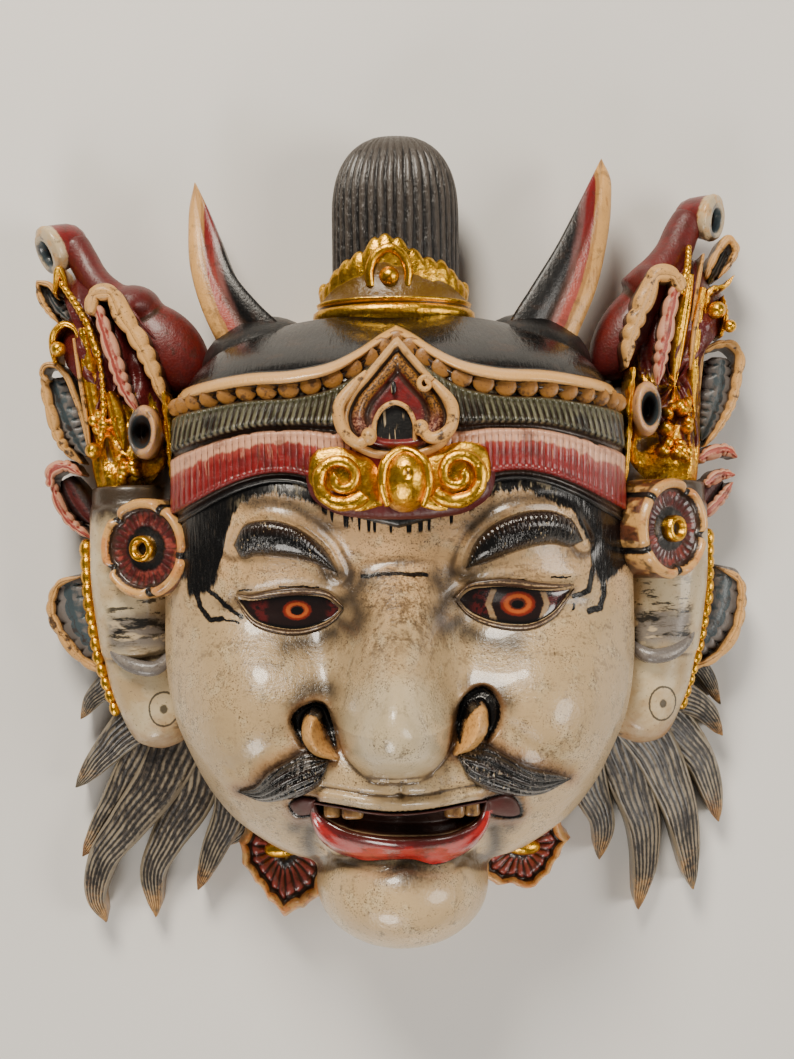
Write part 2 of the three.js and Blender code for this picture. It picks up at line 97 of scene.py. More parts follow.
def rounded(place, power=2):
    """1 at the middle and 0 at the edge (1), like an arch; a higher power makes it squarer."""
    return np.sqrt(np.clip(1 - place**power, 0, 1))


def bump(value, middle, width):
    """1 at the middle, falling softly to nothing."""
    return np.exp(-(((value - middle) / width) ** 2))


def profile(pairs):
    """A smooth function through (place, value) pairs, level past its ends."""
    places, values = np.array(pairs, float).T
    slopes = np.gradient(values, places)

    def at(place):
        place = np.clip(np.asarray(place, float), places[0], places[-1])
        i = np.clip(np.searchsorted(places, place, side="right") - 1, 0, len(places) - 2)
        span = places[i + 1] - places[i]
        s = (place - places[i]) / span
        curve = (1 + 2 * s) * (1 - s) ** 2 * values[i] + s * s * (3 - 2 * s) * values[i + 1]
        return curve + s * (1 - s) ** 2 * span * slopes[i] - s * s * (1 - s) * span * slopes[i + 1]

    return at


def line(points, count):
    """Evenly spread points on a smooth line through the given ones."""
    points = np.array(points, float)
    lengths = np.linalg.norm(np.diff(points, axis=0), axis=1)
    reach = np.concatenate([[0], np.cumsum(lengths)])
    at = np.linspace(0, reach[-1], count)
    return np.stack([profile(np.stack([reach, axis], 1))(at) for axis in points.T], 1)


def whole_outline(right):
    """A closed outline out of its right half, which starts and ends on the middle line."""
    return np.vstack([right, right[-2:0:-1] * [-1, 1]])


def around(count):
    """Evenly spread angles, once round."""
    return np.arange(count) / count * TURN


def taper_gap(path, x, y):
    """How far each place is outside a line whose points carry a half width; negative within it."""
    best = np.full(np.shape(x), 1e9)
    for (ax, ay, first), (bx, by, last) in zip(path[:-1], path[1:]):
        length = (bx - ax) ** 2 + (by - ay) ** 2
        share = np.clip(((x - ax) * (bx - ax) + (y - ay) * (by - ay)) / length, 0, 1)
        gap = np.hypot(x - mix(ax, bx, share), y - mix(ay, by, share))
        best = np.minimum(best, gap - mix(first, last, share))
    return best


def gap_to(path, x, y):
    """How far each place is from a line of points, in the plane of the face."""
    return taper_gap([(px, py, 0) for px, py in path], x, y)


def leaf(most, root, full):
    """A leaf's width along it: full at `full` of its length, nothing at the tip."""

    def at(t):
        base = mix(root, most, np.sin(np.clip(t / full, 0, 1) * math.pi / 2))
        tip = most * rounded((t - full) / (1 - full))
        return np.where(t < full, base, tip)

    return at


# Heights of the face

# Each goes by y, up the face. The last three go by x: where the headband starts, where it ends, and where the
# painted hair starts.
head_half_width = profile([
    (-145, 16), (-134, 25), (-124, 31), (-116, 36), (-110.5, 46), (-102.5, 57), (-91.5, 66), (-77, 74),
    (-63, 80), (-46, 83), (-20, 83), (20, 80), (45, 77), (60, 69), (70, 56), (78, 34),
])
middle_height = profile([
    (-142, 36), (-130, 44), (-120, 54), (-111, 65), (-100, 72), (-85, 74), (-60, 73), (-30, 71), (-10, 76),
    (10, 80), (40, 80), (54, 77), (64, 67), (72, 54), (78, 42),
])
nose_height = profile([
    (-80, 84), (-76.5, 101), (-71, 114), (-63, 120.6), (-55, 119.5), (-46, 111), (-37, 101), (-27, 91),
    (-17, 82.5), (-8, 75),
])
nose_half_width = profile([
    (-80, 8), (-77, 12), (-73, 16), (-68, 18.5), (-62, 20), (-55, 23), (-47, 29), (-36, 36), (-20, 35),
    (-8, 24),
])
nose_middle = profile([(-80, -1.8), (-50, -1.8), (-8, 0)])
nose_softness = profile([(-62, 0.5), (-57, 0.9), (-50, 1.8), (-40, 2.5), (-8, 2.5)])
nose_foot = profile([(-60, 14), (-50, 15), (-40, 15), (-30, 12), (-16, 6), (-8, 0.5)])
hairline = profile([(0, 9), (20, 13), (30, 19), (40, 20.5), (50, 19), (60, 15.5), (70, 11), (79, 7)])
tiara_edge = profile([(0, 71.5), (5, 68), (11, 62.8), (20, 57.2), (32, 54), (50, 53.2), (66, 51.5), (79, 50)])
hair_edge = profile([
    (-72, -14), (-60, -8), (-57.7, 0.2), (-55.4, 5.7), (-52.2, 10.3), (-45.3, 13), (-27, 9.8), (-13.2, 5.3),
    (-4, 4.5), (5, 4.5), (14, 6), (23.4, 10), (45.6, 12.6), (53.1, 8.4), (58.5, 6.2), (62.3, -0.8),
    (74, -12),
])


def blend_max(a, b, width):
    """The larger of two heights, with a rounded valley where they cross."""
    near = np.clip(width - np.abs(a - b), 0, None) / width
    return np.maximum(a, b) + near * near * width * 0.25


def face_height(x, y):
    """How high the smooth face stands, before its details are cut."""
    x, y = np.asarray(x, float), np.asarray(y, float)
    share = np.clip(np.abs(x) / (head_half_width(y) * 1.03), 0, 1)
    height = RIM_EDGE + (middle_height(y) - RIM_EDGE) * (1 - share**3) ** 0.45
    for middle_x, middle_y, wide, long, rise in MOUNDS:
        q = ((np.abs(x) - middle_x) / wide) ** 2 + ((y - middle_y) / long) ** 2
        height = height + rise * np.clip(1 - q, 0, None) ** 2
    ball = 1 - (x / CHIN["half_width"]) ** 2 - ((y - CHIN["y"]) / CHIN["half_length"]) ** 2
    chin = CHIN["z"] + CHIN["rise"] * np.sqrt(np.clip(ball, 0, None))
    height = np.where(ball > 0, blend_max(height, chin, 5), height)
    across = np.clip((x - nose_middle(y)) / nose_half_width(y), -1, 1)
    foot = nose_foot(y)
    rise = np.clip(nose_height(y) - height, 0, None) + foot
    ridge = height - foot + rise * (1 - across**2) ** nose_softness(y)
    on_nose = (y > -80) & (y < -8) & (np.abs(across) < 1)
    return np.where(on_nose, blend_max(height, ridge, foot), height)


# Lines of the face, from its middle outwards, for the right side and for the left. They differ a little, as
# carving by hand does.
EYES = [
    {
        "upper": [(19.5, -22.6), (23, -19.2), (30, -17.9), (38, -18), (45, -19), (52, -19.5), (59, -19.2)],
        "lower": [(19.5, -22.6), (23.5, -27), (30, -30.2), (37.5, -31.6), (44, -31.4), (51.5, -28),
                  (59, -19.2)],
        "iris": (39.8, -24.2), "size": (6.4, 4.5),
    },
    {
        "upper": [(-19.6, -25), (-25, -21), (-30, -20.2), (-37, -20.2), (-44, -21), (-50.5, -21.9),
                  (-55.4, -21)],
        "lower": [(-19.6, -25), (-22.7, -28.4), (-27.5, -31), (-34, -32.4), (-41, -31.8), (-49, -29),
                  (-55.4, -21)],
        "iris": (-34.6, -25.6), "size": (5.2, 3.6),
    },
]
BROWS = [
    {
        "upper": [(22, -12), (25, -3.6), (30, 1.9), (37, 5.6), (44.5, 7.2), (51.5, 6.9), (58, 4),
                  (62.5, -3.4)],
        "lower": [(22, -12), (26, -11.2), (30.5, -10), (37.5, -7.2), (44.5, -5.2), (51.5, -4.4),
                  (57.5, -5.4), (62.5, -3.4)],
    },
    {
        "upper": [(-20.5, -13), (-23.8, -6), (-28.5, -1), (-33.5, 2.4), (-39.5, 4.6), (-45, 5), (-51, 3.6),
                  (-55.5, -3.4)],
        "lower": [(-20.5, -13), (-24.5, -11.8), (-28.5, -10), (-33.5, -8.7), (-40.5, -7.7), (-47.5, -7.2),
                  (-52.5, -8), (-55.5, -3.4)],
    },
]
MOUSTACHES = [
    {
        "upper": [(18.3, -71.8), (26.4, -68.8), (33.9, -72.6), (42.4, -77), (50.4, -79.8), (56.9, -83)],
        "lower": [(18.3, -73), (21.4, -79.5), (27.4, -84), (36.4, -87), (46.9, -87.5), (56.9, -83)],
    },
    {
        "upper": [(-23.7, -73), (-30.1, -70.4), (-37.1, -73.6), (-44.1, -78), (-48.9, -83.6), (-55.1, -86.4)],
        "lower": [(-23.7, -74.4), (-25.7, -80.6), (-31.1, -85), (-38.1, -87.8), (-47.1, -89.2),
                  (-55.1, -86.4)],
    },
]
# Nostril wings as (x, y, half width) along their middle, and the black grooves round them
NOSTRILS = [
    {
        "wing": [(24.9, -59, 3.4), (24.5, -63, 3.9), (22.1, -67.6, 3.2), (17.7, -71.6, 0.8)],
        "groove": [(18.9, -68, 0.8), (19.7, -61.5, 1.6), (22.7, -55.4, 2.5), (27.3, -53.4, 2.8),
                   (30.3, -57, 2.6), (30.5, -62.5, 2.1), (27.9, -68, 0.8)],
    },
    {
        "wing": [(-28.5, -60, 2.6), (-29.1, -64, 3.6), (-27.3, -68.6, 3.2), (-21.3, -72.8, 0.8)],
        "groove": [(-21.7, -70, 0.8), (-23.9, -63, 1.8), (-27.1, -57.2, 2.0), (-31.3, -57.6, 1.8),
                   (-34.1, -60.6, 2.4), (-33.7, -64.6, 1.8), (-32.3, -69, 0.7)],
    },
]
MOUTH_TOP = [(-29.2, -87.6), (-20.2, -88.6), (-10.2, -90), (-1.2, -90.8), (7.8, -90), (17.8, -88.6),
             (27.8, -87.4)]
LIP_INNER = [(-29.2, -87.6), (-26.8, -92.8), (-21.2, -96.2), (-9.2, -98.6), (4.8, -99.2), (17.8, -98.4),
             (24.8, -95), (27.8, -87.4)]
LIP_OUTER = [
    (-30.6, -88.4), (-30.2, -96), (-27, -103), (-20.8, -107.8), (-13.8, -109.4), (-5.2, -108.6),
    (2.8, -108.4), (10.8, -110.6), (17.8, -109.8), (24.8, -104.6), (29, -96.6), (29.4, -88.4),
]
CHIN_LINE = [
    (-28.2, -105), (-22.2, -110.6), (-13.2, -112.4), (-5.2, -112.2), (0.8, -109.8), (7.8, -112.6),
    (16.8, -113.4), (25.8, -107),
]
RED_TABS = [
    [(27.8, -87.4), (35.3, -86.6), (38.8, -90.4), (39.8, -94.6), (31.8, -94.4), (28.4, -92.6)],
    [(-28.2, -86.6), (-33.2, -86.6), (-37.2, -89.8), (-35.2, -93.4), (-29.2, -92.2)],
]


def within(upper, lower, x, y):
    """How far each place is inside the area between two lines, up and down the face; negative outside."""
    upper, lower = line(upper, 60), line(lower, 60)
    if upper[0, 0] > upper[-1, 0]:
        upper, lower = upper[::-1], lower[::-1]
    inside = np.minimum(y - np.interp(x, *lower.T), np.interp(x, *upper.T) - y)
    return np.where((x > upper[0, 0]) & (x < upper[-1, 0]), inside, -9.0)


def skin_height(x, y):
    """The face with its nostrils, lids, lips and chin worked in."""
    height = face_height(x, y)
    for nostril in NOSTRILS:
        wing = np.clip(-taper_gap(line(nostril["wing"], 16), x, y), 0, None)
        groove = taper_gap(line(nostril["groove"], 26), x, y)
        height = height - 5.0 * smooth(0.8, -1.6, groove) * (wing <= 0)
        height = np.where(wing > 0, np.maximum(height, 88 + 3.6 * wing - 0.32 * wing**2), height)
    for eye in EYES:
        inside = within(eye["upper"], eye["lower"], x, y)
        height = height - 2.4 * smooth(0, 2.0, inside)
        rim = gap_to(line(eye["upper"], 24), x, y)
        height = height + 1.0 * bump(rim, 4.4, 3.0) * smooth(-24, -19, y)
    for brow in BROWS:
        edge = gap_to(line(brow["upper"], 30), x, y)
        height = height + 0.8 * bump(edge, 2.0, 1.2) - 0.5 * bump(edge, 4.6, 1.7)
    top = np.interp(x, *np.array(MOUTH_TOP).T)
    lip = smooth(29, 25, np.abs(x))
    height = height + (1.9 * bump(y - top, 2.6, 2.3) - 1.1 * bump(y - top, 5.6, 0.9)) * lip
    for tab in RED_TABS:
        closed = tab + tab[:1]
        middle = np.mean(tab, axis=0)
        height = height - 2.4 * bump(np.hypot((x - middle[0]) / 1.5, y - middle[1]), 0, 3.2)
        height = height + 0.8 * bump(gap_to(closed, x, y), 1.6, 1.2)
    mouth = within(MOUTH_TOP, LIP_INNER, x, y)
    height = height - 12 * smooth(-0.5, 2.5, mouth)
    height = height - 1.2 * bump(x, -1.2, 2.0) * smooth(-87.5, -85.5, y) * smooth(-78, -81, y)
    crease = np.minimum.reduce([
        gap_to(line([(s * 30, -100), (s * 32, -108), (s * 31.5, -116)], 10), x, y) for s in (-1, 1)
    ])
    height = height - 2.6 * bump(crease, 0, 3.4)
    height = height - 0.9 * bump(gap_to(line(CHIN_LINE, 30), x, y), 0, 1.2)
    for side in (1, -1):
        fold = gap_to(line([(side * 36, -65), (side * 44, -71), (side * 56, -78)], 10), x, y)
        height = height - 1.2 * bump(fold, 0, 4)
    return height


# Forms, as points and faces


class Form:
    """Closed shapes with a value for each point, gathered into one mesh."""

    def __init__(self):
        self.points, self.faces, self.slots, self.values = [], [], [], []
        self.count = 0

    def add(self, points, faces, values=None):
        """Adds a closed shape. Its faces are turned outward; `values` names a number for each point."""
        corners = [points[np.array([face[k] for face in faces])] for k in (0, 1, 2)]
        last = points[np.array([face[-1] for face in faces])]
        inside = np.einsum("ij,ij->", corners[0], np.cross(corners[1], corners[2]))
        inside += np.einsum("ij,ij->", corners[0], np.cross(corners[2], last))
        order = 1 if inside > 0 else -1
        self.faces += [tuple(i + self.count for i in face[::order]) for face in faces]
        self.slots += [0] * len(faces)
        self.points.append(points)
        self.values.append((len(points), values or {}))
        self.count += len(points)
        return self

    def join(self, other, mirror=False):
        """Adds another form, or its mirror image across the middle plane."""
        flip = np.array([-1, 1, 1]) if mirror else 1
        order = -1 if mirror else 1
        self.faces += [tuple(i + self.count for i in face[::order]) for face in other.faces]
        self.slots += other.slots
        self.points += [points * flip for points in other.points]
        self.values += other.values
        self.count += other.count
        return self

    def both_sides(self):
        return Form().join(self).join(self, mirror=True)

    def mesh(self, name):
        mesh = bpy.data.meshes.new(name)
        points = np.vstack(self.points)
        points[:, 2] = np.maximum(points[:, 2], 0)
        mesh.from_pydata(points * MM, [], self.faces)
        names = sorted({key for _, values in self.values for key in values})
        for key in names:
            parts = [np.broadcast_to(values.get(key, 0.0), count) for count, values in self.values]
            layer = mesh.attributes.new(key, "FLOAT", "POINT")
            layer.data.foreach_set("value", np.concatenate(parts).astype(np.float32))
        mesh.polygons.foreach_set("material_index", self.slots)
        return mesh


def loft(rings, values=None):
    """Points and faces of a skin through rings of points, fanned shut at both ends."""
    rows, count = rings.shape[:2]
    grid = np.arange(rows * count).reshape(rows, count)
    right = np.roll(grid, -1, axis=1)
    quads = np.stack([grid[:-1], right[:-1], right[1:], grid[1:]], -1).reshape(-1, 4)
    points = rings.reshape(-1, 3)
    faces = [tuple(quad) for quad in quads.tolist()]
    values = {key: np.asarray(value, float).ravel() for key, value in (values or {}).items()}
    for ring, order in ((grid[0], -1), (grid[-1], 1)):
        middle = len(points)
        points = np.vstack([points, points[ring].mean(0)])
        ends = np.stack([ring, np.roll(ring, -1)], 1)[:, ::order].tolist()
        faces += [(middle, a, b) for a, b in ends]
        values = {key: np.append(value, value[ring].mean()) for key, value in values.items()}
    return points, faces, values


def strip(left, right, lift, sink, across, up=UP, ground=None):
    """A form on the strip between two lines, carved above by lift(u, t) and flat behind.

    u runs from -1 on the left line to 1 on the right one, and t along them from 0 to 1.
    """
    left, right = np.array(left, float), np.array(right, float)
    if left.shape[1] == 2:
        left, right = np.pad(left, ((0, 0), (0, 1))), np.pad(right, ((0, 0), (0, 1)))
    u, t = np.meshgrid(np.linspace(-1, 1, across + 1), np.linspace(0, 1, len(left)))
    flat = mix(left[:, None], right[:, None], ((u + 1) / 2)[..., None])
    if ground:
        flat[..., 2] += ground(flat[..., 0], flat[..., 1])
    up = np.broadcast_to(up, left.shape)[:, None]
    top = flat + up * np.asarray(lift(u, t))[..., None]
    behind = [across, across // 2, 0]
    sink = np.broadcast_to(np.asarray(sink, float), len(left))[:, None, None]
    rings = np.concatenate([top, flat[:, behind] - up * sink], axis=1)
    whole_u = np.concatenate([u, u[:, behind]], axis=1)
    whole_t = np.concatenate([t, t[:, behind]], axis=1)
    return loft(rings, {"across": whole_u, "along": whole_t})


def frames(path, front):
    """Sideways and outward directions along a path that fronts one way."""
    ahead = np.gradient(path, axis=0)
    side = np.cross(ahead, front)
    side /= np.linalg.norm(side, axis=1, keepdims=True) + 1e-12
    out = np.cross(side, ahead)
    return side, out / (np.linalg.norm(out, axis=1, keepdims=True) + 1e-12)


def ribbon(points, width, lift, sink, rows, across, front=UP, ground=None):
    """A strip that follows a path, `width` across."""
    path = line(points, rows)
    if path.shape[1] == 2:
        path = np.pad(path, ((0, 0), (0, 1)))
    side, out = frames(path, np.asarray(front, float))
    half = (np.broadcast_to(width(np.linspace(0, 1, rows)), rows) / 2)[:, None]
    return strip(path - side * half, path + side * half, lift, sink, across, out, ground)


def tube(points, radius, rows, sides, flat=1.0):
    """A round rod along a path, `flat` times as thick as wide."""
    path = line(points, rows)
    side, out = frames(path, UP)
    t = np.linspace(0, 1, rows)
    reach = np.broadcast_to(radius(t), rows)[:, None, None]
    angle = around(sides)
    ring = side[:, None] * np.cos(angle)[None, :, None] + out[:, None] * np.sin(angle)[None, :, None] * flat
    across = np.broadcast_to(np.cos(angle), (rows, sides))
    along = np.broadcast_to(t[:, None], (rows, sides))
    return loft(path[:, None] + ring * reach, {"across": across, "along": along})


def ellipsoid(middle, radii, segments, rows, turn=0.0):
    """A closed ball, stretched and turned about Z."""
    tilt = (np.arange(rows) + 0.5) / rows * math.pi
    angle = around(segments)
    ring = np.stack([
        np.sin(tilt)[:, None] * np.cos(angle), np.sin(tilt)[:, None] * np.sin(angle),
        np.broadcast_to(np.cos(tilt)[:, None], (rows, segments)),
    ], -1) * np.array(radii, float)
    spin = np.array([[math.cos(turn), math.sin(turn), 0], [-math.sin(turn), math.cos(turn), 0], [0, 0, 1]])
    return loft(ring @ spin + np.array(middle, float))


def plate(outline, lift, sink, rings, middle=None):
    """A form within an outline of points, carved above by lift(share, turn) and flat behind."""
    outline = np.array(outline, float)
    middle = outline.mean(0) if middle is None else np.array(middle, float)
    share = (np.arange(rings) + 1) / rings
    turn = np.broadcast_to(np.arange(len(outline)) / len(outline), (rings, len(outline)))
    shares = np.broadcast_to(share[:, None], turn.shape)
    flat = middle + (outline - middle)[None] * share[:, None, None]
    top = flat + UP * np.asarray(lift(shares, turn))[..., None]
    back = flat[[-1, rings // 2]] - UP * sink
    whole = np.concatenate([shares, shares[[-1, rings // 2]]])
    return loft(np.concatenate([top, back]), {"share": whole})


# Pieces of the object


def hollows(mesh, rounds):
    """For each point, how far it lies below the skin round it, in millimetres: ridges are negative."""
    count = len(mesh.vertices)
    place = np.empty(count * 3)
    mesh.vertices.foreach_get("co", place)
    place = place.reshape(-1, 3)
    normal = np.empty(count * 3)
    mesh.vertex_normals.foreach_get("vector", normal)
    edges = np.empty(len(mesh.edges) * 2, int)
    mesh.edges.foreach_get("vertices", edges)
    a, b = edges.reshape(-1, 2).T
    share = 1 / np.maximum(np.bincount(a, minlength=count) + np.bincount(b, minlength=count), 1)
    soft = place.copy()
    for _ in range(rounds):
        soft = np.stack([
            (np.bincount(a, soft[b, k], count) + np.bincount(b, soft[a, k], count)) * share for k in range(3)
        ], 1)
    return np.einsum("ij,ij->i", soft - place, normal.reshape(-1, 3)) / MM


def new_object(name, data):
    obj = bpy.data.objects.new(name, data)
    bpy.context.scene.collection.objects.link(obj)
    return obj


def apply_modifiers(obj):
    """Gives an object the plain mesh that its modifiers make of it."""
    made = bpy.data.meshes.new_from_object(obj.evaluated_get(bpy.context.evaluated_depsgraph_get()))
    obj.modifiers.clear()
    obj.data = made


def finish_piece(obj, rounds=8):
    """Closes an object's seams, marks its hollows and sets it on the carving's body."""
    mesh = obj.data
    edit = bmesh.new()
    edit.from_mesh(mesh)
    bmesh.ops.remove_doubles(edit, verts=edit.verts, dist=1e-6)
    bmesh.ops.dissolve_degenerate(edit, edges=edit.edges, dist=1e-7)
    edit.to_mesh(mesh)
    edit.free()
    mesh.shade_smooth()
    layer = mesh.attributes.new("hollow", "FLOAT", "POINT")
    layer.data.foreach_set("value", hollows(mesh, rounds).astype(np.float32))
    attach(obj, "root")
    return obj


def piece(name, form, *materials, rounds=8):
    """Makes a form an object of the mask."""
    mesh = form.mesh(name)
    for material in materials:
        mesh.materials.append(material)
    return finish_piece(new_object(name, mesh), rounds)


# Node trees


class Wire:
    """An output of a node tree that takes Python's arithmetic."""

    def __init__(self, tree, socket):
        self.tree, self.socket = tree, socket

    def math(self, operation, *others):
        names = ("Value", "Value_001", "Value_002")
        return self.tree.node("ShaderNodeMath", {"operation": operation}, dict(zip(names, (self, *others))))

    def most(self, other):
        return self.math("MAXIMUM", other)

    def least(self, other):
        return self.math("MINIMUM", other)

    def root(self):
        return self.math("SQRT")

    def output(self, name):
        """Another output of the same node."""
        return Wire(self.tree, self.tree.find(self.socket.node.outputs, name))

    def __add__(self, other):
        return self.math("ADD", other)

    __radd__ = __add__

    def __sub__(self, other):
        return self.math("SUBTRACT", other)

    def __rsub__(self, other):
        return (self * -1) + other

    def __mul__(self, other):
        return self.math("MULTIPLY", other)

    __rmul__ = __mul__

    def __truediv__(self, other):
        return self.math("DIVIDE", other)

    def __pow__(self, other):
        return self.math("POWER", other)

    def __neg__(self):
        return self * -1

    def __abs__(self):
        return self.math("ABSOLUTE")


class Tree:
    """Adds nodes to a node tree."""

    def __init__(self, tree):
        self.tree = tree

    @staticmethod
    def find(sockets, name):
        matches = [s for s in sockets if s.identifier == name] or [s for s in sockets if s.name == name]
        return matches[0]

    def node(self, kind, settings=None, sockets=None, output=0):
        """Adds a node: its settings first, then the values or links of its sockets. Returns one output."""
        node = self.tree.nodes.new(kind)
        for key, value in (settings or {}).items():
            setattr(node, key, value)
        for name, value in (sockets or {}).items():
            socket = self.find(node.inputs, name)
            if isinstance(value, Wire):
                self.tree.links.new(value.socket, socket)
            elif socket.type == "RGBA" and len(value) == 3:
                socket.default_value = (*value, 1)
            else:
                socket.default_value = value
        outputs = node.outputs
        if not len(outputs):
            return None
        return Wire(self, outputs[output] if isinstance(output, int) else self.find(outputs, output))


class Paint(Tree):
    """A material's tree, with coordinates in millimetres and the colour that its layers have given so far."""

    def __init__(self, name):
        self.material = bpy.data.materials.new(name)
        self.material.use_nodes = True
        super().__init__(self.material.node_tree)
        self.tree.nodes.clear()
        coordinates = self.node("ShaderNodeTexCoord", output="Object")
        self.place = self.node(
            "ShaderNodeVectorMath", {"operation": "SCALE"}, {"Vector": coordinates, "Scale": 1 / MM}
        )
        self.x = self.node("ShaderNodeSeparateXYZ", {}, {"Vector": self.place})
        self.y = self.x.output("Y")
        self.side = abs(self.x)
        self.colour = None

    def value(self, name):
        """A number that the mesh holds for each point."""
        return self.node("ShaderNodeAttribute", {"attribute_name": name}, output="Fac")

    def step(self, wire, low, high, top=1.0):
        """0 below low and `top` above high, with a soft step between; low may be above high."""
        return self.node("ShaderNodeMapRange", {"interpolation_type": "SMOOTHSTEP"}, {
            "Value": wire, "From Min": low, "From Max": high, "To Max": top,
        })

    def noise(self, size, detail, stretch=(1, 1, 1), rough=0.6, shift=0.0):
        """Noise from 0 to 1 with grains of about `size` millimetres, longer where stretch is small."""
        scaled = self.node("ShaderNodeVectorMath", {"operation": "MULTIPLY"}, {
            "Vector": self.place, "Vector_001": [s / size for s in stretch],
        })
        moved = self.node("ShaderNodeVectorMath", {"operation": "ADD"}, {
            "Vector": scaled, "Vector_001": (shift, shift * 1.7, shift * 0.6),
        })
        return self.node("ShaderNodeTexNoise", {}, {
            "Vector": moved, "Scale": 1.0, "Detail": detail, "Roughness": rough,
        })

    def mix(self, a, b, share):
        return self.node(
            "ShaderNodeMix", {"data_type": "RGBA"},
            {"Factor_Float": share, "A_Color": a, "B_Color": b}, "Result_Color",
        )

    def lay(self, over, share):
        """Lays a colour over the finish's own, by a share."""
        self.colour = self.mix(self.colour, over, share)

    def shade(self, colour, share):
        """A colour darkened to `share` of itself where share is below 1."""
        grey = self.node("ShaderNodeCombineColor", {}, {"Red": share, "Green": share, "Blue": share})
        return self.node(
            "ShaderNodeMix", {"data_type": "RGBA", "blend_type": "MULTIPLY"},
            {"Factor_Float": 1.0, "A_Color": colour, "B_Color": grey}, "Result_Color",
        )

    def darken(self, share):
        self.colour = self.shade(self.colour, share)

    def stroke(self, x, y, points, half):
        """1 on a painted line through the points, with soft edges `half` millimetres from it."""
        nearest = None
        for (ax, ay), (bx, by) in zip(points[:-1], points[1:]):
            length = (bx - ax) ** 2 + (by - ay) ** 2
            dx, dy = x - ax, y - ay
            share = (dx * ((bx - ax) / length) + dy * ((by - ay) / length)).least(1).most(0)
            off_x, off_y = dx - share * (bx - ax), dy - share * (by - ay)
            gap = (off_x * off_x + off_y * off_y).root()
            nearest = gap if nearest is None else nearest.least(gap)
        return self.step(nearest, half * 1.25, half * 0.7)

    def surface(self, roughness, relief=None, depth=0.1, metallic=0.0, coat=0.0, coat_roughness=0.15):
        """Ends the tree in a surface. `relief` is a height that a bump of `depth` millimetres shows."""
        sockets = {
            "Base Color": self.colour, "Roughness": roughness, "Metallic": metallic, "Coat Weight": coat,
            "Coat Roughness": coat_roughness,
        }
        if relief is not None:
            sockets["Normal"] = self.node("ShaderNodeBump", {}, {
                "Height": relief, "Distance": depth * MM, "Strength": 1.0,
            })
        shader = self.node("ShaderNodeBsdfPrincipled", {}, sockets)
        self.node("ShaderNodeOutputMaterial", {}, {"Surface": shader})
        return self.material

    def age(self, dirt, worn=None, amount=1.0):
        """Gives the finish blotches, fine specks, dirt in its hollows and worn ridges."""
        hollow = self.value("hollow")
        blotch = self.noise(14, 5, shift=3)
        speck = self.noise(0.7, 2, shift=9)
        self.darken(0.58 + 0.6 * blotch)
        self.lay(dirt, self.step(hollow + (blotch - 0.5) * 0.3, 0.02, 0.22, 0.9 * amount))
        self.lay(dirt, self.step(speck, 0.62, 0.72, 0.6 * amount))
        stain = self.noise(4.5, 5, shift=15) + (blotch - 0.5) * 0.3
        self.lay(dirt, self.step(stain, 0.55, 0.66, 0.55 * amount))
        if worn is not None:
            bare = -hollow + (self.noise(2.5, 3, shift=5) - 0.5) * 0.5
            self.lay(worn, self.step(bare, 0.16, 0.34, 0.8 * amount))


# Finishes


def colours():
    return bpy.context.scene.mask_colours


def finish(name):
    """A finish of the mask by its name, made when it is first asked for."""
    return bpy.data.materials.get(name) or FINISHES[name](Paint(name))


# Fine black lines on the face, each with half its width
INK_LINES = [
    ([(-12.4, -14.2), (-2, -13.2), (9, -14)], 0.75), ([(29.7, -16.6), (36, -15.8), (43, -16.4)], 0.3),
    ([(50.8, -15.4), (57.6, -15.4)], 0.3), ([(-54, -18.8), (-49.6, -18.6)], 0.3),
    ([(-40, -17.6), (-32, -17.4), (-27, -18)], 0.3),
    ([(66.2, -13), (64.6, -20.4), (59.6, -22)], 1.1), ([(59.4, -24.6), (58.8, -26.6)], 0.5),
    ([(69.4, -14), (70.4, -21.6), (68.8, -26.4), (65, -27.2)], 1.2),
    ([(-69.6, -19.5), (-68.4, -24.8), (-64.7, -28.8), (-60.3, -28.4)], 1.0),
    ([(-60.3, -28.4), (-54.3, -29.6)], 0.45),
    ([(-65.6, -18.6), (-62.8, -20.4), (-58.6, -24.2), (-53.5, -27.9)], 0.8),
]
# Where the ivory is smudged dark, alike on both sides
SMUDGES = [
    [(19, -23), (14, -18), (12, -15)], [(22, -33), (30, -36), (38, -37)], [(31, -96), (32, -104), (31, -112)],
    [(24, 2), (36, 10), (50, 11)], [(13, -27), (16, -21), (17, -14), (24, -14)],
    [(20, -30), (15, -31), (13, -27)],
    [(34, -56), (31, -52), (24, -51)], [(30, -92), (36, -99)],
]
# The hair in front of the ears, as (x, y, half width)
SIDEBURNS = [
    [(74, 8, 11), (74, -4, 9), (71, -12, 4.5), (70, -16, 2)],
    [(-72, 8, 12), (-71, -4, 10), (-68, -12, 6.4), (-70.5, -19, 2.4)],
]


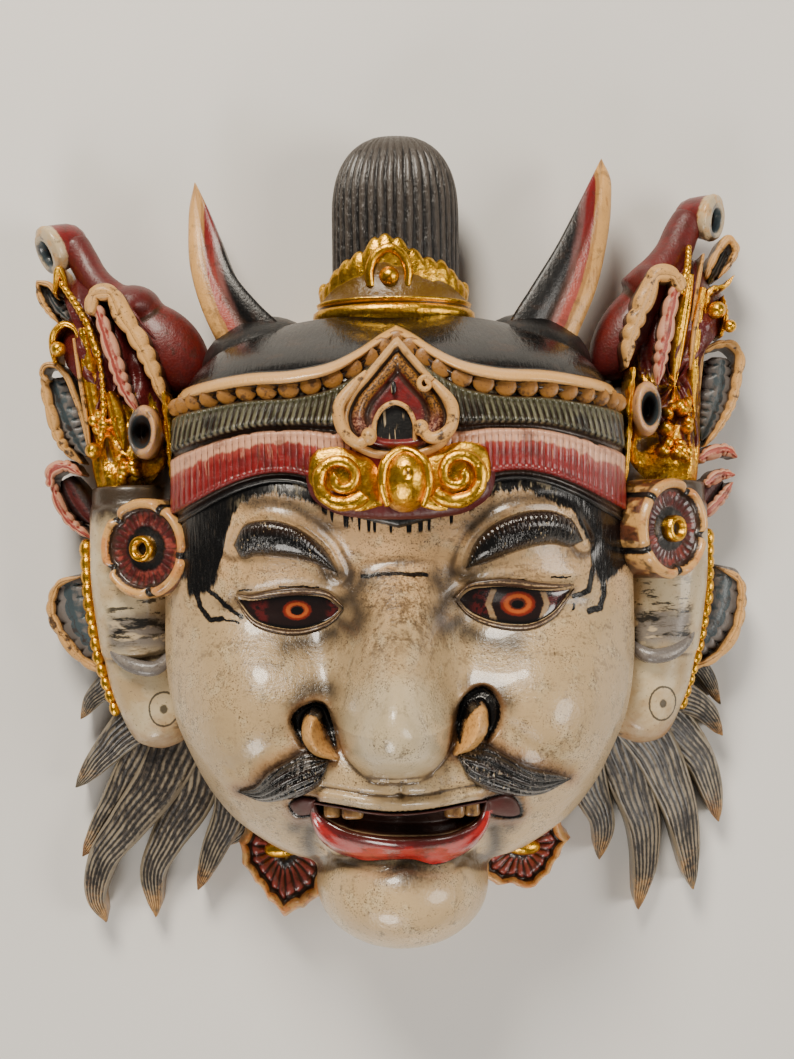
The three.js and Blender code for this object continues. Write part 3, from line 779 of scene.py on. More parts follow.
def face_paint(p):
    c = colours()
    hollow = p.value("hollow") * p.step(p.y, -136, -130)
    fine = p.noise(1.1, 3, shift=2)
    grit = p.noise(0.55, 2, shift=21)
    scratch = p.noise(3, 4, (1, 0.22, 1), 0.7, 7)
    sweep = p.noise(4, 4, (0.22, 1, 1), 0.7, 17)
    blotch = p.noise(22, 5, shift=4)
    patch = p.noise(8, 4, shift=14)
    p.colour = p.mix(c.ivory, c.ivory_warm, p.step(p.y + (blotch - 0.5) * 50, -40, 0, 0.7))
    bulb = p.step(((p.x + 1.6) ** 2 + ((p.y + 61) * 1.1) ** 2).root() + (patch - 0.5) * 6, 21, 14, 0.85)
    p.lay(c.ivory_grey, bulb)
    p.lay(c.ivory_grey, p.step(patch, 0.5, 0.66, 0.4))
    # Darker and lighter at random. Lighter on the chin below y -92 as painted light, where the chin faces
    # down away from the lamps, and a little lighter on the forehead above y 0
    p.darken(0.62 + 0.5 * blotch + 0.26 * patch + p.step(p.y, -92, -112, 0.14) + p.step(p.y, -14, 0, 0.1))
    worn = p.step(scratch * 0.55 + fine * 0.45, 0.5, 0.62, 0.55) * p.step(patch, 0.42, 0.6)
    worn = worn.most(p.step(sweep * 0.6 + fine * 0.4, 0.51, 0.62, 0.5) * p.step(p.y, -75, -30))
    p.lay(c.stain, worn)
    p.lay(c.stain, p.step(grit, 0.57, 0.64, 0.85) * p.step(patch + blotch, 0.88, 1.08))
    bridge = p.step(p.side + (patch - 0.5) * 14, 26, 10) * p.step(p.y + (blotch - 0.5) * 16, -44, -30)
    p.lay(c.stain, bridge * p.step(p.y, -6, -14) * p.step(scratch + fine * 0.5, 0.62, 0.9, 0.7))
    p.lay(c.stain, p.step(hollow + (fine - 0.5) * 0.2, 0.06, 0.5, 0.75))
    smoke = p.value("smoke") + (fine - 0.5) * 5 + (scratch - 0.5) * 4
    p.lay(c.smoke, p.step(smoke, 6.5, -0.5, 0.9))
    halo = p.value("halo") + (blotch - 0.5) * 5 + (fine - 0.5) * 3
    p.lay(c.rust, p.step(halo, 5.5, 1.5, 0.5))
    p.lay(c.stain, p.step(halo, 3.0, -0.2, 0.95))
    wing = p.value("wing") + (fine - 0.5) * 1.2
    p.lay(p.mix(c.cream_tan, c.rust, p.step(fine, 0.48, 0.66, 0.7)), p.step(wing, -0.4, 0.5))
    strand = p.noise(1.3, 3, (1, 0.12, 0.2), shift=6)
    streak = p.noise(0.9, 2, (1, 0.15, 0.3), shift=11)
    drip = p.noise(2.1, 0, (1, 0, 0), shift=3)
    hair = p.value("hair")
    reach = p.step(p.side, 20, 30)
    fringe = (strand * 6 - 3) * reach + (1 - reach) * (p.step(drip, 0.5, 0.58) * 5 - 0.5)
    cover = p.step(hair + fringe, -0.6, 0.7)
    temple = p.step(p.value("sideburn") + (strand - 0.5) * 4, 1.2, -0.6)
    black = cover.most(temple)
    hair_colour = p.mix(c.black, c.hair_grey, p.step(streak, 0.56, 0.78, 0.4))
    rubbed = p.step(p.noise(6, 4, (1, 0.5, 1), shift=31), 0.5, 0.62, 0.6) * p.step(p.side, 12, 24)
    hair_colour = p.mix(hair_colour, c.ivory_grey, rubbed * p.step(p.side, 58, 46) * p.step(streak, 0.4, 0.6))
    skull = p.value("skull")
    crown_hair = p.mix(c.black, c.stain, p.step(p.noise(3, 4, (0.3, 1, 1), shift=5), 0.5, 0.7, 0.5))
    hair_colour = p.mix(hair_colour, crown_hair, p.step(skull, -2, 0))
    p.lay(hair_colour, black)
    ragged_x = p.x + (p.noise(4, 2, shift=8) - 0.5) * 1.6 + (fine - 0.5) * 0.5
    ragged_y = p.y + (p.noise(3, 2, shift=12) - 0.5) * 1.6 + (fine - 0.5) * 0.5
    ink = p.step(p.value("groove") + (fine - 0.5) * 1.6, -0.1, -0.7)
    ink = ink.most(p.step(p.value("lipline") + (fine - 0.5) * 1.2, 0.9, 0.4))
    ink = ink.most(p.step(p.value("tabline") + (fine - 0.5) * 0.8, 1.0, 0.4))
    for path, half in INK_LINES:
        ink = ink.most(p.stroke(ragged_x, ragged_y, path, half))
    p.lay(c.black, ink)
    inside = p.mix(c.mouth_brown, c.black, p.step(p.side + (fine - 0.5) * 6, 15, 6, 0.55))
    p.lay(inside, p.step(p.value("mouth"), -0.3, 0.4))
    dark = black.most(ink)
    brushed = strand * 0.6 + streak * 0.4
    relief = brushed * black + (fine * 0.6 + scratch * 0.8 + sweep * 0.7 + patch * 0.8) * (1 - black)
    rough = 0.18 + 0.28 * fine - 0.08 * dark
    coat = (0.35 + 0.2 * blotch) * (1 - black * 0.6)
    return p.surface(rough, relief, 0.3, coat=coat, coat_roughness=0.1)


def bare_wood(p):
    c = colours()
    ring = p.noise(6, 6, (1, 0.1, 1), 0.65)
    pore = p.noise(0.8, 2, (1, 0.08, 1), shift=4)
    gouge = p.node("ShaderNodeTexVoronoi", {"feature": "SMOOTH_F1"}, {
        "Vector": p.place, "Scale": 0.11, "Smoothness": 0.4,
    }, "Distance")
    p.colour = p.mix(c.wood, c.wood_dark, p.step(ring, 0.4, 0.7, 0.8))
    p.lay(c.stain, p.step(pore, 0.6, 0.75, 0.5))
    return p.surface(0.62 + 0.2 * pore, gouge * 3 + ring * 0.4 + pore * 0.2, 0.4)


def hair_paint(p):
    """Black lacquer over fine cut strands, rubbed grey along them."""
    c = colours()
    fine = p.noise(0.8, 2, (1, 0.5, 0.5), shift=2)
    strand = p.noise(1.1, 3, (1, 0.12, 0.4), shift=5)
    p.colour = p.mix(c.black, c.hair_grey, p.step(strand * 0.6 + fine * 0.4, 0.54, 0.66, 0.25))
    nick = p.step(fine, 0.62, 0.7, 0.7) * p.step(p.noise(9, 2, shift=7), 0.5, 0.6)
    glint = p.step(strand * 0.6 + fine * 0.4 + p.noise(6, 2, shift=17) * 0.3, 0.7, 0.76, 0.4)
    p.lay(c.silver, glint * p.step(p.y, -50, -60))
    p.lay(c.cream, nick)
    p.lay(c.stain, p.step(-p.value("hollow"), 0.1, 0.3, 0.4))
    return p.surface(0.08 + 0.14 * strand, strand + fine * 0.3, 0.7, coat=0.5, coat_roughness=0.05)


def lid_paint(p):
    c = colours()
    fine = p.noise(1.0, 3, shift=2)
    edge = abs(p.value("across"))
    p.colour = p.mix(c.ivory, c.ivory_warm, 0.5)
    p.age(c.stain, amount=1.4)
    p.lay(c.stain, p.step(edge + (fine - 0.5) * 1.4, -0.15, 0.3, 0.97))
    return p.surface(0.3 + 0.25 * fine, fine, 0.14, coat=0.4, coat_roughness=0.18)


def eye_paint(p):
    """Dark enamel with a ringed iris, and pale crescents and dark red beside it."""
    c = colours()
    right, left = EYES

    def of_side(name, k):
        return p.step(p.x, -0.1, 0.1, right[name][k] - left[name][k]) + left[name][k]

    dx, dy = p.x - of_side("iris", 0), p.y - of_side("iris", 1)
    fine = p.noise(0.6, 2)
    streak = p.noise(2.4, 3, shift=3)
    ring = ((dx / of_side("size", 0)) ** 2 + (dy / of_side("size", 1)) ** 2).root() + (fine - 0.5) * 0.2
    pupil = ((dx / 2.2) ** 2 + ((dy + 0.2) / 1.5) ** 2).root() + (fine - 0.5) * 0.2
    blood = p.step(streak, 0.42, 0.56) * p.step(abs(dx), 9, 11) * p.step(abs(dx), 17, 14)
    p.colour = p.mix(c.black, c.eye_dark, 0.5 + streak * 0.5)
    p.lay(c.maroon, blood * 0.9)
    slant = abs(dx) + abs(dy) * 0.35 + (fine - 0.5) * 1.2
    white = p.step(slant, 8.6, 9.2) * p.step(slant, 11.2, 10.6) * p.step(p.x, -10, 20, 0.7)
    p.lay(p.mix(c.cream, c.rust, streak), white)
    p.lay(c.eye_red, p.step(ring, 1.0, 0.84))
    p.lay(c.eye_orange, p.step(abs(ring - 0.6), 0.2, 0.06, 0.85))
    p.lay(c.mouth_brown, p.step(ring, 0.46, 0.4, 0.8))
    p.lay(c.black, p.step(pupil, 1.0, 0.85))
    p.lay(c.black, p.step(abs(p.value("across")) + (fine - 0.5) * 0.2, 0.66, 0.86))
    return p.surface(0.12 + 0.12 * fine, fine, 0.05, coat=0.9, coat_roughness=0.05)


def lip_paint(p):
    """Glossy red, darker on the slope into the mouth and dirty along its edges."""
    c = colours()
    fine = p.noise(0.9, 3)
    across = p.value("across")
    blotch = p.noise(7, 3, shift=4)
    p.colour = p.mix(c.red_bright, c.red, p.step(blotch, 0.5, 0.62, 0.7))
    p.lay(c.maroon, p.step(across + (fine - 0.5) * 0.3 + (blotch - 0.5) * 0.3, 0.1, 0.5, 0.9))
    p.lay(c.mouth_brown, p.step(across, 0.6, 0.95, 0.8))
    edge = p.step(p.y, -92.2, -91.4).most(p.step(p.side, 28.6, 30.4))
    p.lay(p.mix(c.maroon, c.mouth_brown, blotch * 1.5), edge * 0.97)
    p.lay(c.black, p.step(across + (fine - 0.5) * 0.12, -0.9, -0.96))
    p.age(c.mouth_brown, amount=0.6)
    return p.surface(0.14 + 0.16 * fine + 0.3 * edge, fine + blotch, 0.12, coat=0.9 - 0.8 * edge,
                     coat_roughness=0.08)


def tooth_paint(p):
    c = colours()
    fine = p.noise(0.8, 3)
    streak = p.noise(2.0, 3, (1, 0.25, 1), shift=3)
    p.colour = p.mix(c.cream_tan, c.rust, p.step(streak, 0.42, 0.6, 0.7))
    p.darken(0.5)
    p.age(c.mouth_brown, amount=1.4)
    return p.surface(0.3 + 0.2 * fine, fine, 0.1, coat=0.4)


def band_paint(p):
    c = colours()
    share = p.value("share")
    fine = p.noise(0.8, 3)
    wave = p.noise(2.6, 2, (1, 0, 0), shift=5)
    blotch = p.noise(9, 4, shift=2)
    scrape = p.noise(1.2, 3, (1, 0.12, 0.3), 0.7, 8)
    level = share + (fine - 0.5) * 0.02
    drip = level + (wave - 0.5) * 0.13
    flute = p.value("flute")
    red = p.mix(c.red, c.rose, p.step(drip + (blotch - 0.5) * 0.12, 0.2, 0.27, 0.5))
    red = p.mix(red, c.cream_pink, p.step(drip, 0.28, 0.31, 0.95))
    red = p.mix(red, c.cream_pink, p.step(scrape, 0.58, 0.64, 0.4) * p.step(level, 0.06, 0.25))
    red = p.shade(red, 0.55 + 0.5 * p.step(flute, 0.02, 0.35))
    red = p.mix(red, c.maroon, p.step(blotch, 0.52, 0.66, 0.6))
    fluted = p.step(level + (blotch - 0.5) * 0.3, 0.72, 0.62)
    olive = p.mix(c.olive, c.black, p.step(flute + (fine - 0.5) * 0.7, 0.8, 0.35, 0.9) * fluted)
    olive = p.mix(olive, c.olive_pale, p.step(flute * blotch + scrape * 0.5, 0.6, 0.72, 0.4) * fluted)
    olive = p.mix(olive, c.black, p.step(p.noise(13, 3, shift=9), 0.48, 0.6, 0.85) * p.step(level, 0.75, 0.6))
    p.colour = p.mix(p.mix(c.black, c.hair_grey, p.step(blotch, 0.5, 0.7, 0.6)), red,
                     p.step(level, -0.005, 0.005))
    p.lay(c.black, p.step(drip, 0.425, 0.435))
    p.lay(olive, p.step(level, 0.475, 0.485))
    p.lay(c.stain, p.step(level, 0.745, 0.755))
    moulding = p.mix(c.cream_tan, c.stain, p.step(fine + p.value("hollow") + blotch * 0.5, 0.66, 0.95, 0.8))
    p.lay(moulding, p.step(level, 0.895, 0.905))
    p.lay(c.black, p.step(level, 1.015, 1.03))
    hollow = p.step(p.value("hollow") + (fine - 0.5) * 0.1, 0.05, 0.3, 0.85)
    p.lay(c.stain, hollow)
    return p.surface(0.18 + 0.3 * fine, fine + scrape * 1.4, 0.24, coat=0.4, coat_roughness=0.1)


def gold_leaf(p, part=False):
    """Crinkled gold leaf with painted shade in its folds, where it is dark and without metal, and fine flecks
    rubbed through. Where it covers only part, dark red shows between.
    """
    c = colours()
    crinkle = p.noise(1.4, 5, rough=0.7)
    wave = p.noise(3.4, 3, shift=13)
    rub = p.noise(5, 5, shift=6)
    fleck = p.noise(0.8, 2, shift=9)
    # Painted shade: the leaf is laid dark and without metal in its hollows, and fine flecks are rubbed
    # through at random
    shaded_or_bare = p.step(p.value("hollow") + (rub - 0.5) * 0.7, 0.1, 0.26)
    shaded_or_bare = shaded_or_bare.most(p.step(fleck + (rub - 0.5) * 0.4, 0.66, 0.74, 0.9))
    p.colour = p.mix(c.gold, c.gold_deep, p.step(crinkle, 0.4, 0.62, 0.95))
    p.lay(c.gold_gap, shaded_or_bare * 0.9)
    if part:
        bare = p.step(p.noise(7, 4, (1, 0.4, 1), shift=19) + (p.y - 40) * 0.006, 0.48, 0.54)
        p.lay(c.maroon, bare)
        shaded_or_bare = shaded_or_bare.most(bare)
    relief = crinkle * 0.35 + wave * (2.4 if part else 0.8)
    return p.surface(0.19 + 0.22 * rub, relief + fleck * 0.3, 0.4, metallic=1 - shaded_or_bare, coat=0.1)


def part_gilt(p):
    return gold_leaf(p, True)


def topknot_paint(p):
    c = colours()
    strand = p.noise(0.7, 3, (1, 0.08, 1), shift=2)
    cloud = p.noise(8, 3, (1, 0.4, 1), shift=5)
    hollow = p.value("hollow")
    p.colour = p.mix(c.hair_dark, c.hair_grey,
                     p.step(strand - hollow * 1.5 + (cloud - 0.5) * 0.5, 0.5, 0.85, 0.8))
    p.lay(c.black, p.step(hollow, 0.0, 0.3))
    dent = p.noise(3, 3, (1, 0.45, 1), shift=12)
    return p.surface(0.26 + 0.25 * strand, strand * 0.5 + dent, 1.0, coat=0.25, coat_roughness=0.15)


def lock_paint(p):
    """Charcoal locks with their ridges rubbed pale, and cream or brown tips."""
    c = colours()
    strand = p.noise(0.9, 3, (0.6, 0.6, 1), shift=2)
    cloud = p.noise(12, 3, shift=5)
    along, hollow = p.value("along"), p.value("hollow")
    wisp = p.noise(3.2, 4, (1, 0.35, 1), shift=25)
    ridge = strand * 0.16 - hollow * 2.0 + (wisp - 0.5) * 1.3 + along * 0.2
    p.colour = p.mix(c.hair_dark, c.hair_grey, p.step(strand, 0.4, 0.6, 0.9))
    p.lay(c.hair_pale, p.step(ridge, 0.24, 0.58, 0.65))
    tip = p.mix(c.cream_tan, c.rust, p.step(cloud, 0.5, 0.6, 0.7))
    p.lay(tip, p.step(along + (strand - 0.5) * 0.4, 0.8, 1.0, 0.6) * p.step(cloud, 0.4, 0.5))
    p.lay(c.black, p.step(hollow + (strand - 0.5) * 0.06, 0.03, 0.2, 0.95))
    return p.surface(0.34 + 0.25 * strand, strand, 0.22, coat=0.3, coat_roughness=0.2)


def ear_paint(p):
    """Bands beside the outer edge: cream, tan, red and grey, then black behind."""
    c = colours()
    inset = p.value("inset")
    fine = p.noise(1.0, 3)
    streak = p.noise(2.0, 3, (1, 0.15, 0.5), shift=3)
    level = inset + (streak - 0.5) * 1.4
    p.colour = p.mix(c.cream_tan, c.rust, p.step(streak, 0.55, 0.7, 0.5))
    p.lay(c.rust, p.step(level, 4.4, 5.2, 0.6))
    p.lay(p.mix(c.red, c.rose, p.step(p.y + (streak - 0.5) * 30, 112, 84)), p.step(level, 6.0, 6.6))
    p.lay(c.grey, p.step(level, 9.2, 10.4, 0.5))
    dark = p.mix(c.black, c.hair_grey, p.step(streak, 0.5, 0.8, 0.2))
    p.lay(dark, p.step(level, 10.6, 13.5))
    p.age(c.stain, amount=0.7)
    return p.surface(0.3 + 0.2 * fine, fine + streak, 0.2, coat=0.12)


def plain_paint(colour_name, worn_name, rough, amount=1.0, walls=0.0):
    """A finish of one aged colour, dark on the walls of a ribbon by the share `walls`."""

    def make(p):
        c = colours()
        fine = p.noise(0.9, 3)
        stroke = p.noise(2.5, 4, (1, 0.3, 0.5), shift=4)
        worn = getattr(c, worn_name) if worn_name else None
        p.colour = getattr(c, colour_name)
        p.age(c.stain, worn, amount)
        p.lay(c.stain, p.step(stroke, 0.58, 0.8, 0.45))
        if walls:
            p.lay(c.stain, p.step(abs(p.value("across")), 0.98, 1.0, walls))
        return p.surface(rough + 0.2 * fine, fine + stroke, 0.2, coat=0.15, coat_roughness=0.2)

    return make


def lobe_paint(p):
    c = colours()
    fine = p.noise(1.1, 3)
    blotch = p.noise(16, 4, shift=3)
    patch = p.noise(6, 4, shift=8)
    brush = p.noise(3.2, 4, (0.22, 1, 0.5), 0.75, 5)
    p.colour = p.mix(c.ivory, c.ivory_grey, p.step(blotch + patch * 0.3, 0.5, 0.75))
    p.darken(0.8 + 0.4 * blotch)
    p.lay(c.rust, p.step(p.y + (patch - 0.5) * 26, -62, -80, 0.6))
    p.lay(c.stain, p.step(fine, 0.6, 0.74, 0.55))
    p.lay(p.mix(c.stain, c.black, patch), p.step(p.y + (patch - 0.5) * 12, 2, 9, 0.95))
    inner = p.step(p.side, 107, 103)
    under = p.step(p.y + (blotch - 0.5) * 6, -44, -38) * p.step(p.y + (patch - 0.5) * 10, -14, -22) * inner
    smoky = p.mix(c.grey, c.black, p.step(brush, 0.46, 0.6))
    smoky = p.mix(smoky, c.cream, p.step(p.noise(5, 3, (0.3, 1, 1), shift=15), 0.54, 0.64, 0.7))
    p.lay(smoky, under * p.step(p.y + (patch - 0.5) * 8, -25, -32, 0.9))
    p.lay(c.black, p.step(brush, 0.54, 0.6, 0.9) * under)
    ring = ((abs(p.x - 4.6) - 90.6) ** 2 * 1.5 + (p.y + 63) ** 2).root()
    circle = p.step(abs(ring - 6.2 + (fine - 0.5) * 0.8), 0.55, 0.25)
    dot = p.step(ring + (fine - 0.5), 2.0, 1.3)
    p.lay(c.black, circle.most(dot) * 0.85)
    tick = p.noise(2.2, 2, (0.1, 1, 0.3), shift=9)
    p.lay(c.black, p.step(tick, 0.55, 0.6) * p.step(p.side, 84, 80, 0.8) * p.step(p.y, -46, -52))
    p.lay(c.stain, p.step(p.value("hollow") + (fine - 0.5) * 0.2, 0.05, 0.35, 0.85))
    return p.surface(0.28 + 0.25 * fine, fine + brush * 0.4, 0.18, coat=0.4, coat_roughness=0.16)


def rosette_paint(p):
    """Cream and orange rim with black slits round a dark red flower."""
    c = colours()
    share = p.value("share")
    fine = p.noise(0.9, 3)
    ray = p.value("ray")
    patch = p.noise(5, 3, shift=3)
    inner = p.mix(c.maroon, c.black, p.step(ray + (fine - 0.5) * 1.2, 0.3, 0.1, 0.6))
    inner = p.mix(inner, c.rose, p.step(patch, 0.46, 0.62, 0.75))
    inner = p.mix(inner, c.grey, p.step(p.noise(3, 3, shift=12), 0.6, 0.7, 0.5))
    rim = p.mix(c.cream_tan, c.orange, p.step(p.noise(9, 3, shift=6), 0.45, 0.62, 0.5))
    p.colour = p.mix(c.black, inner, p.step(share + (fine - 0.5) * 0.06, 0.42, 0.5))
    p.lay(c.black, p.step(share, 0.77, 0.79))
    p.lay(rim, p.step(share + (fine - 0.5) * 0.04, 0.8, 0.82))
    side = p.mix(c.cream_tan, c.maroon, p.step(p.noise(9, 3, (0.4, 1, 0.4), shift=16), 0.46, 0.54, 0.9))
    side = p.mix(side, c.stain, p.step(patch, 0.46, 0.6, 0.8))
    p.lay(side, p.step(share, 0.995, 1.01))
    p.lay(c.black, p.step(p.value("notch") + (fine - 0.5) * 0.3, 0.5, 0.7) * p.step(share, 0.74, 0.78))
    p.age(c.stain, amount=0.9)
    return p.surface(0.26 + 0.25 * fine, fine + patch, 0.18, coat=0.5, coat_roughness=0.15)


def pendant_paint(p):
    c = colours()
    fine = p.noise(0.9, 3)
    share = p.value("share")
    ray = p.value("ray")
    streak = p.noise(2.2, 3, (1, 0.3, 1), shift=5)
    inner = p.mix(c.maroon, c.rose, p.step(ray + (fine - 0.5) * 0.4 + (streak - 0.5), 0.3, 0.8, 0.8))
    inner = p.mix(inner, c.grey, p.step(streak, 0.58, 0.7, 0.6))
    inner = p.mix(c.black, inner, p.step(share + (fine - 0.5) * 0.1, 0.24, 0.34))
    p.colour = p.mix(inner, c.black, p.step(share, 0.73, 0.75))
    edge = p.mix(c.cream_tan, c.orange, p.step(p.noise(3, 3, shift=7), 0.44, 0.6, 0.6))
    p.lay(edge, p.step(share + (fine - 0.5) * 0.04, 0.77, 0.79))
    p.age(c.stain, amount=1.0)
    return p.surface(0.3 + 0.25 * fine, fine + streak, 0.18, coat=0.4)


def jewel_paint(p):
    """The pointed leaf: cream edge, speckled ochre border, red within."""
    c = colours()
    fine = p.noise(0.9, 3)
    share = p.value("share") + (fine - 0.5) * 0.03
    p.colour = p.mix(c.red, c.maroon, p.step(p.noise(4, 3, shift=3), 0.42, 0.6, 0.7))
    violet = p.step(p.side + (fine - 0.5) * 3, 7.5, 9.5) * p.step(p.y, 46, 41)
    p.lay(p.mix(c.maroon, c.cream_pink, p.step(fine, 0.45, 0.6, 0.6)), violet)
    speckled = p.mix(c.ochre, c.stain, p.step(p.noise(0.7, 2, shift=6), 0.48, 0.56, 0.9))
    p.lay(speckled, p.step(share, 0.56, 0.59) * p.step(p.y, 36, 42))
    p.lay(c.black, p.step(share, 0.8, 0.82))
    p.lay(c.cream_tan, p.step(share, 0.83, 0.85))
    p.age(c.stain, amount=0.9)
    return p.surface(0.3 + 0.25 * fine, fine, 0.16, coat=0.4)


def niche_paint(p):
    """Black with pale upright strokes."""
    c = colours()
    fine = p.noise(0.9, 3)
    stroke = p.noise(1.0, 2, (1, 0.1, 1), shift=4)
    p.colour = p.mix(c.black, c.cream, p.step(stroke, 0.58, 0.68, 0.7))
    return p.surface(0.3 + 0.2 * fine, fine, 0.12, coat=0.4)


def curl_paint(p):
    """The wing's end: white within a red cap, grey round a black hole."""
    c = colours()
    fine = p.noise(1.0, 3)
    share = p.value("share") + (fine - 0.5) * 0.05
    patch = p.noise(5, 3, shift=3)
    p.colour = p.mix(c.black, c.blue_grey, p.step(share, 0.3, 0.4))
    p.lay(p.mix(c.grey, c.cream, p.step(patch, 0.4, 0.55)), p.step(share, 0.48, 0.56))
    rim = p.mix(c.cream, c.cream_tan, p.step(patch, 0.45, 0.6, 0.8))
    p.lay(rim, p.step(share, 0.66, 0.7))
    p.lay(p.mix(c.red, c.maroon, p.step(patch, 0.45, 0.6, 0.7)), p.step(share, 1.0, 1.04))
    p.age(c.stain, amount=1.0)
    return p.surface(0.28 + 0.25 * fine, fine + patch, 0.16, coat=0.45)


def cup_paint(p):
    c = colours()
    fine = p.noise(1.0, 3)
    share = p.value("share") + (fine - 0.5) * 0.06
    p.colour = p.mix(c.black, c.blue_grey, p.step(share, 0.25, 0.55, 0.8))
    rim = p.mix(c.cream_tan, c.cream_pink, p.step(fine, 0.4, 0.6))
    rim = p.mix(rim, c.blue_grey, p.step(p.side + (fine - 0.5) * 3, 90.5, 93, 0.9))
    p.lay(rim, p.step(share, 0.6, 0.66))
    p.age(c.stain, amount=1.2)
    return p.surface(0.3 + 0.25 * fine, fine, 0.16, coat=0.4)


def floor_paint(p):
    grain = p.noise(40, 3)
    p.colour = p.shade(colours().floor, 0.98 + 0.04 * grain)
    return p.surface(0.75)


FINISHES = {
    "face paint": face_paint,
    "bare wood": bare_wood,
    "hair lacquer": hair_paint,
    "lid paint": lid_paint,
    "eye enamel": eye_paint,
    "lip lacquer": lip_paint,
    "tooth paint": tooth_paint,
    "headband paint": band_paint,
    "gold leaf": gold_leaf,
    "part gilt": part_gilt,
    "topknot stain": topknot_paint,
    "lock paint": lock_paint,
    "ear paint": ear_paint,
    "wing lacquer": plain_paint("wing_red", "maroon", 0.34),
    "dark ground": plain_paint("maroon", "black", 0.36),
    "cream paint": plain_paint("cream_tan", None, 0.36, 1.7, 0.85),
    "rose paint": plain_paint("rose", "cream_pink", 0.38, 1.0, 0.85),
    "lobe paint": lobe_paint,
    "rosette paint": rosette_paint,
    "pendant paint": pendant_paint,
    "jewel paint": jewel_paint,
    "niche paint": niche_paint,
    "curl paint": curl_paint,
    "cup paint": cup_paint,
    "ochre paint": plain_paint("ochre", None, 0.34, 1.4),
    "silver paint": plain_paint("silver", "grey", 0.16, 1.8),
    "panel lacquer": plain_paint("red", "maroon", 0.3, 1.4),
    "blue leaf": plain_paint("blue_grey", "grey", 0.3, 1.2, 0.85),
    "floor": floor_paint,
}


# Sizes and colours


class MaskSizes(bpy.types.PropertyGroup):
    """Sizes that a user may change."""

    topknot_height: FloatProperty(
        name="Topknot top", description="How far up the topknot ends, from the middle of the mask",
        default=0.1468, min=0.11, max=0.15, unit="LENGTH", subtype="DISTANCE",
    )
    topknot_width: FloatProperty(
        name="Topknot half width", description="Half the width of the topknot",
        default=0.0235, min=0.015, max=0.03, unit="LENGTH", subtype="DISTANCE",
    )
    topknot_depth: FloatProperty(
        name="Topknot half depth", description="Half the depth of the topknot",
        default=0.017, min=0.01, max=0.022, unit="LENGTH", subtype="DISTANCE",
    )
    topknot_flutes: IntProperty(
        name="Topknot flutes", description="Grooved strands round the topknot", default=40, min=12, max=60,
    )
    groove_depth: FloatProperty(
        name="Topknot groove", description="Depth of the grooves between the topknot's strands",
        default=0.0012, min=0.0002, max=0.003, unit="LENGTH", subtype="DISTANCE",
    )
    scallops: IntProperty(
        name="Tiara scallops", description="Scallops along the tiara", default=27, min=8, max=40,
    )
    band_flutes: IntProperty(
        name="Headband flutes", description="Flutes across the headband", default=72, min=30, max=90,
    )


class MaskColours(bpy.types.PropertyGroup):
    """Paint colours that a user may change."""


COLOURS = {
    "ivory": ("Ivory", "Aged ivory of the face", srgb(190, 162, 120)),
    "ivory_warm": ("Warm ivory", "Tan of the forehead", srgb(212, 168, 116)),
    "ivory_grey": ("Grey ivory", "Greyish bulb of the nose", srgb(204, 186, 150)),
    "stain": ("Stain", "Brown stain in hollows and cracks", srgb(54, 34, 20)),
    "smoke": ("Smoke", "Dark smudges round the eyes and mouth", srgb(52, 44, 36)),
    "rust": ("Rust", "Orange-brown stain beside the hair", srgb(142, 88, 38)),
    "black": ("Black", "Black lacquer", srgb(12, 11, 11)),
    "hair_dark": ("Dark hair", "Charcoal of topknot and beard", srgb(34, 30, 28)),
    "hair_grey": ("Grey hair", "Grey strokes in the hair", srgb(70, 62, 54)),
    "hair_pale": ("Pale strands", "Pale strands of the beard", srgb(160, 146, 122)),
    "grey": ("Grey", "Grey paint on the ornaments", srgb(110, 104, 100)),
    "silver": ("Silver", "Pale fold of the ear lobes", srgb(140, 132, 124)),
    "mouth_brown": ("Mouth", "Dark inside of the mouth", srgb(62, 34, 24)),
    "cream": ("Cream", "Cream of teeth and eyes", srgb(214, 190, 150)),
    "cream_tan": ("Tan cream", "Cream edges of the ornaments", srgb(222, 168, 98)),
    "cream_pink": ("Pink cream", "Pale edge of the red band", srgb(214, 160, 128)),
    "red": ("Red", "Deep red lacquer", srgb(122, 18, 18)),
    "red_bright": ("Bright red", "Red of the lower lip", srgb(196, 40, 36)),
    "wing_red": ("Wing red", "Dull red of the wings", srgb(108, 24, 18)),
    "maroon": ("Maroon", "Dark red of panel and rosettes", srgb(84, 26, 26)),
    "rose": ("Rose", "Dusty pink", srgb(168, 74, 62)),
    "orange": ("Orange", "Orange edges", srgb(206, 112, 50)),
    "eye_dark": ("Eye ground", "Dark brown round the iris", srgb(36, 22, 20)),
    "eye_red": ("Iris red", "Outer ring of the iris", srgb(120, 36, 20)),
    "eye_orange": ("Iris orange", "Bright ring of the iris", srgb(188, 92, 40)),
    "olive": ("Olive", "Olive of the headband", srgb(70, 68, 46)),
    "olive_pale": ("Pale olive", "Worn olive", srgb(140, 134, 104)),
    "ochre": ("Ochre", "Ochre scallops", srgb(160, 108, 42)),
    "blue_grey": ("Blue grey", "Blue-grey leaves", srgb(66, 80, 86)),
    "gold": ("Gold", "Gold leaf", srgb(246, 192, 62)),
    "gold_deep": ("Deep gold", "Gold leaf in its folds", srgb(210, 148, 34)),
    # Paint under the gold leaf, also laid in the leaf's folds as painted shade
    "gold_gap": ("Gold ground", "Paint under the gold leaf", srgb(66, 44, 10)),
    "wood": ("Wood", "Bare wood behind", srgb(164, 128, 84)),
    "wood_dark": ("Dark wood", "Dark grain of the wood", srgb(116, 82, 48)),
    "floor": ("Floor", "The pale floor", srgb(226, 224, 220)),
}
for key, (label, words, default) in COLOURS.items():
    MaskColours.__annotations__[key] = FloatVectorProperty(
        name=label, description=words, default=default, min=0, max=1, subtype="COLOR",
    )


# Geometry trees


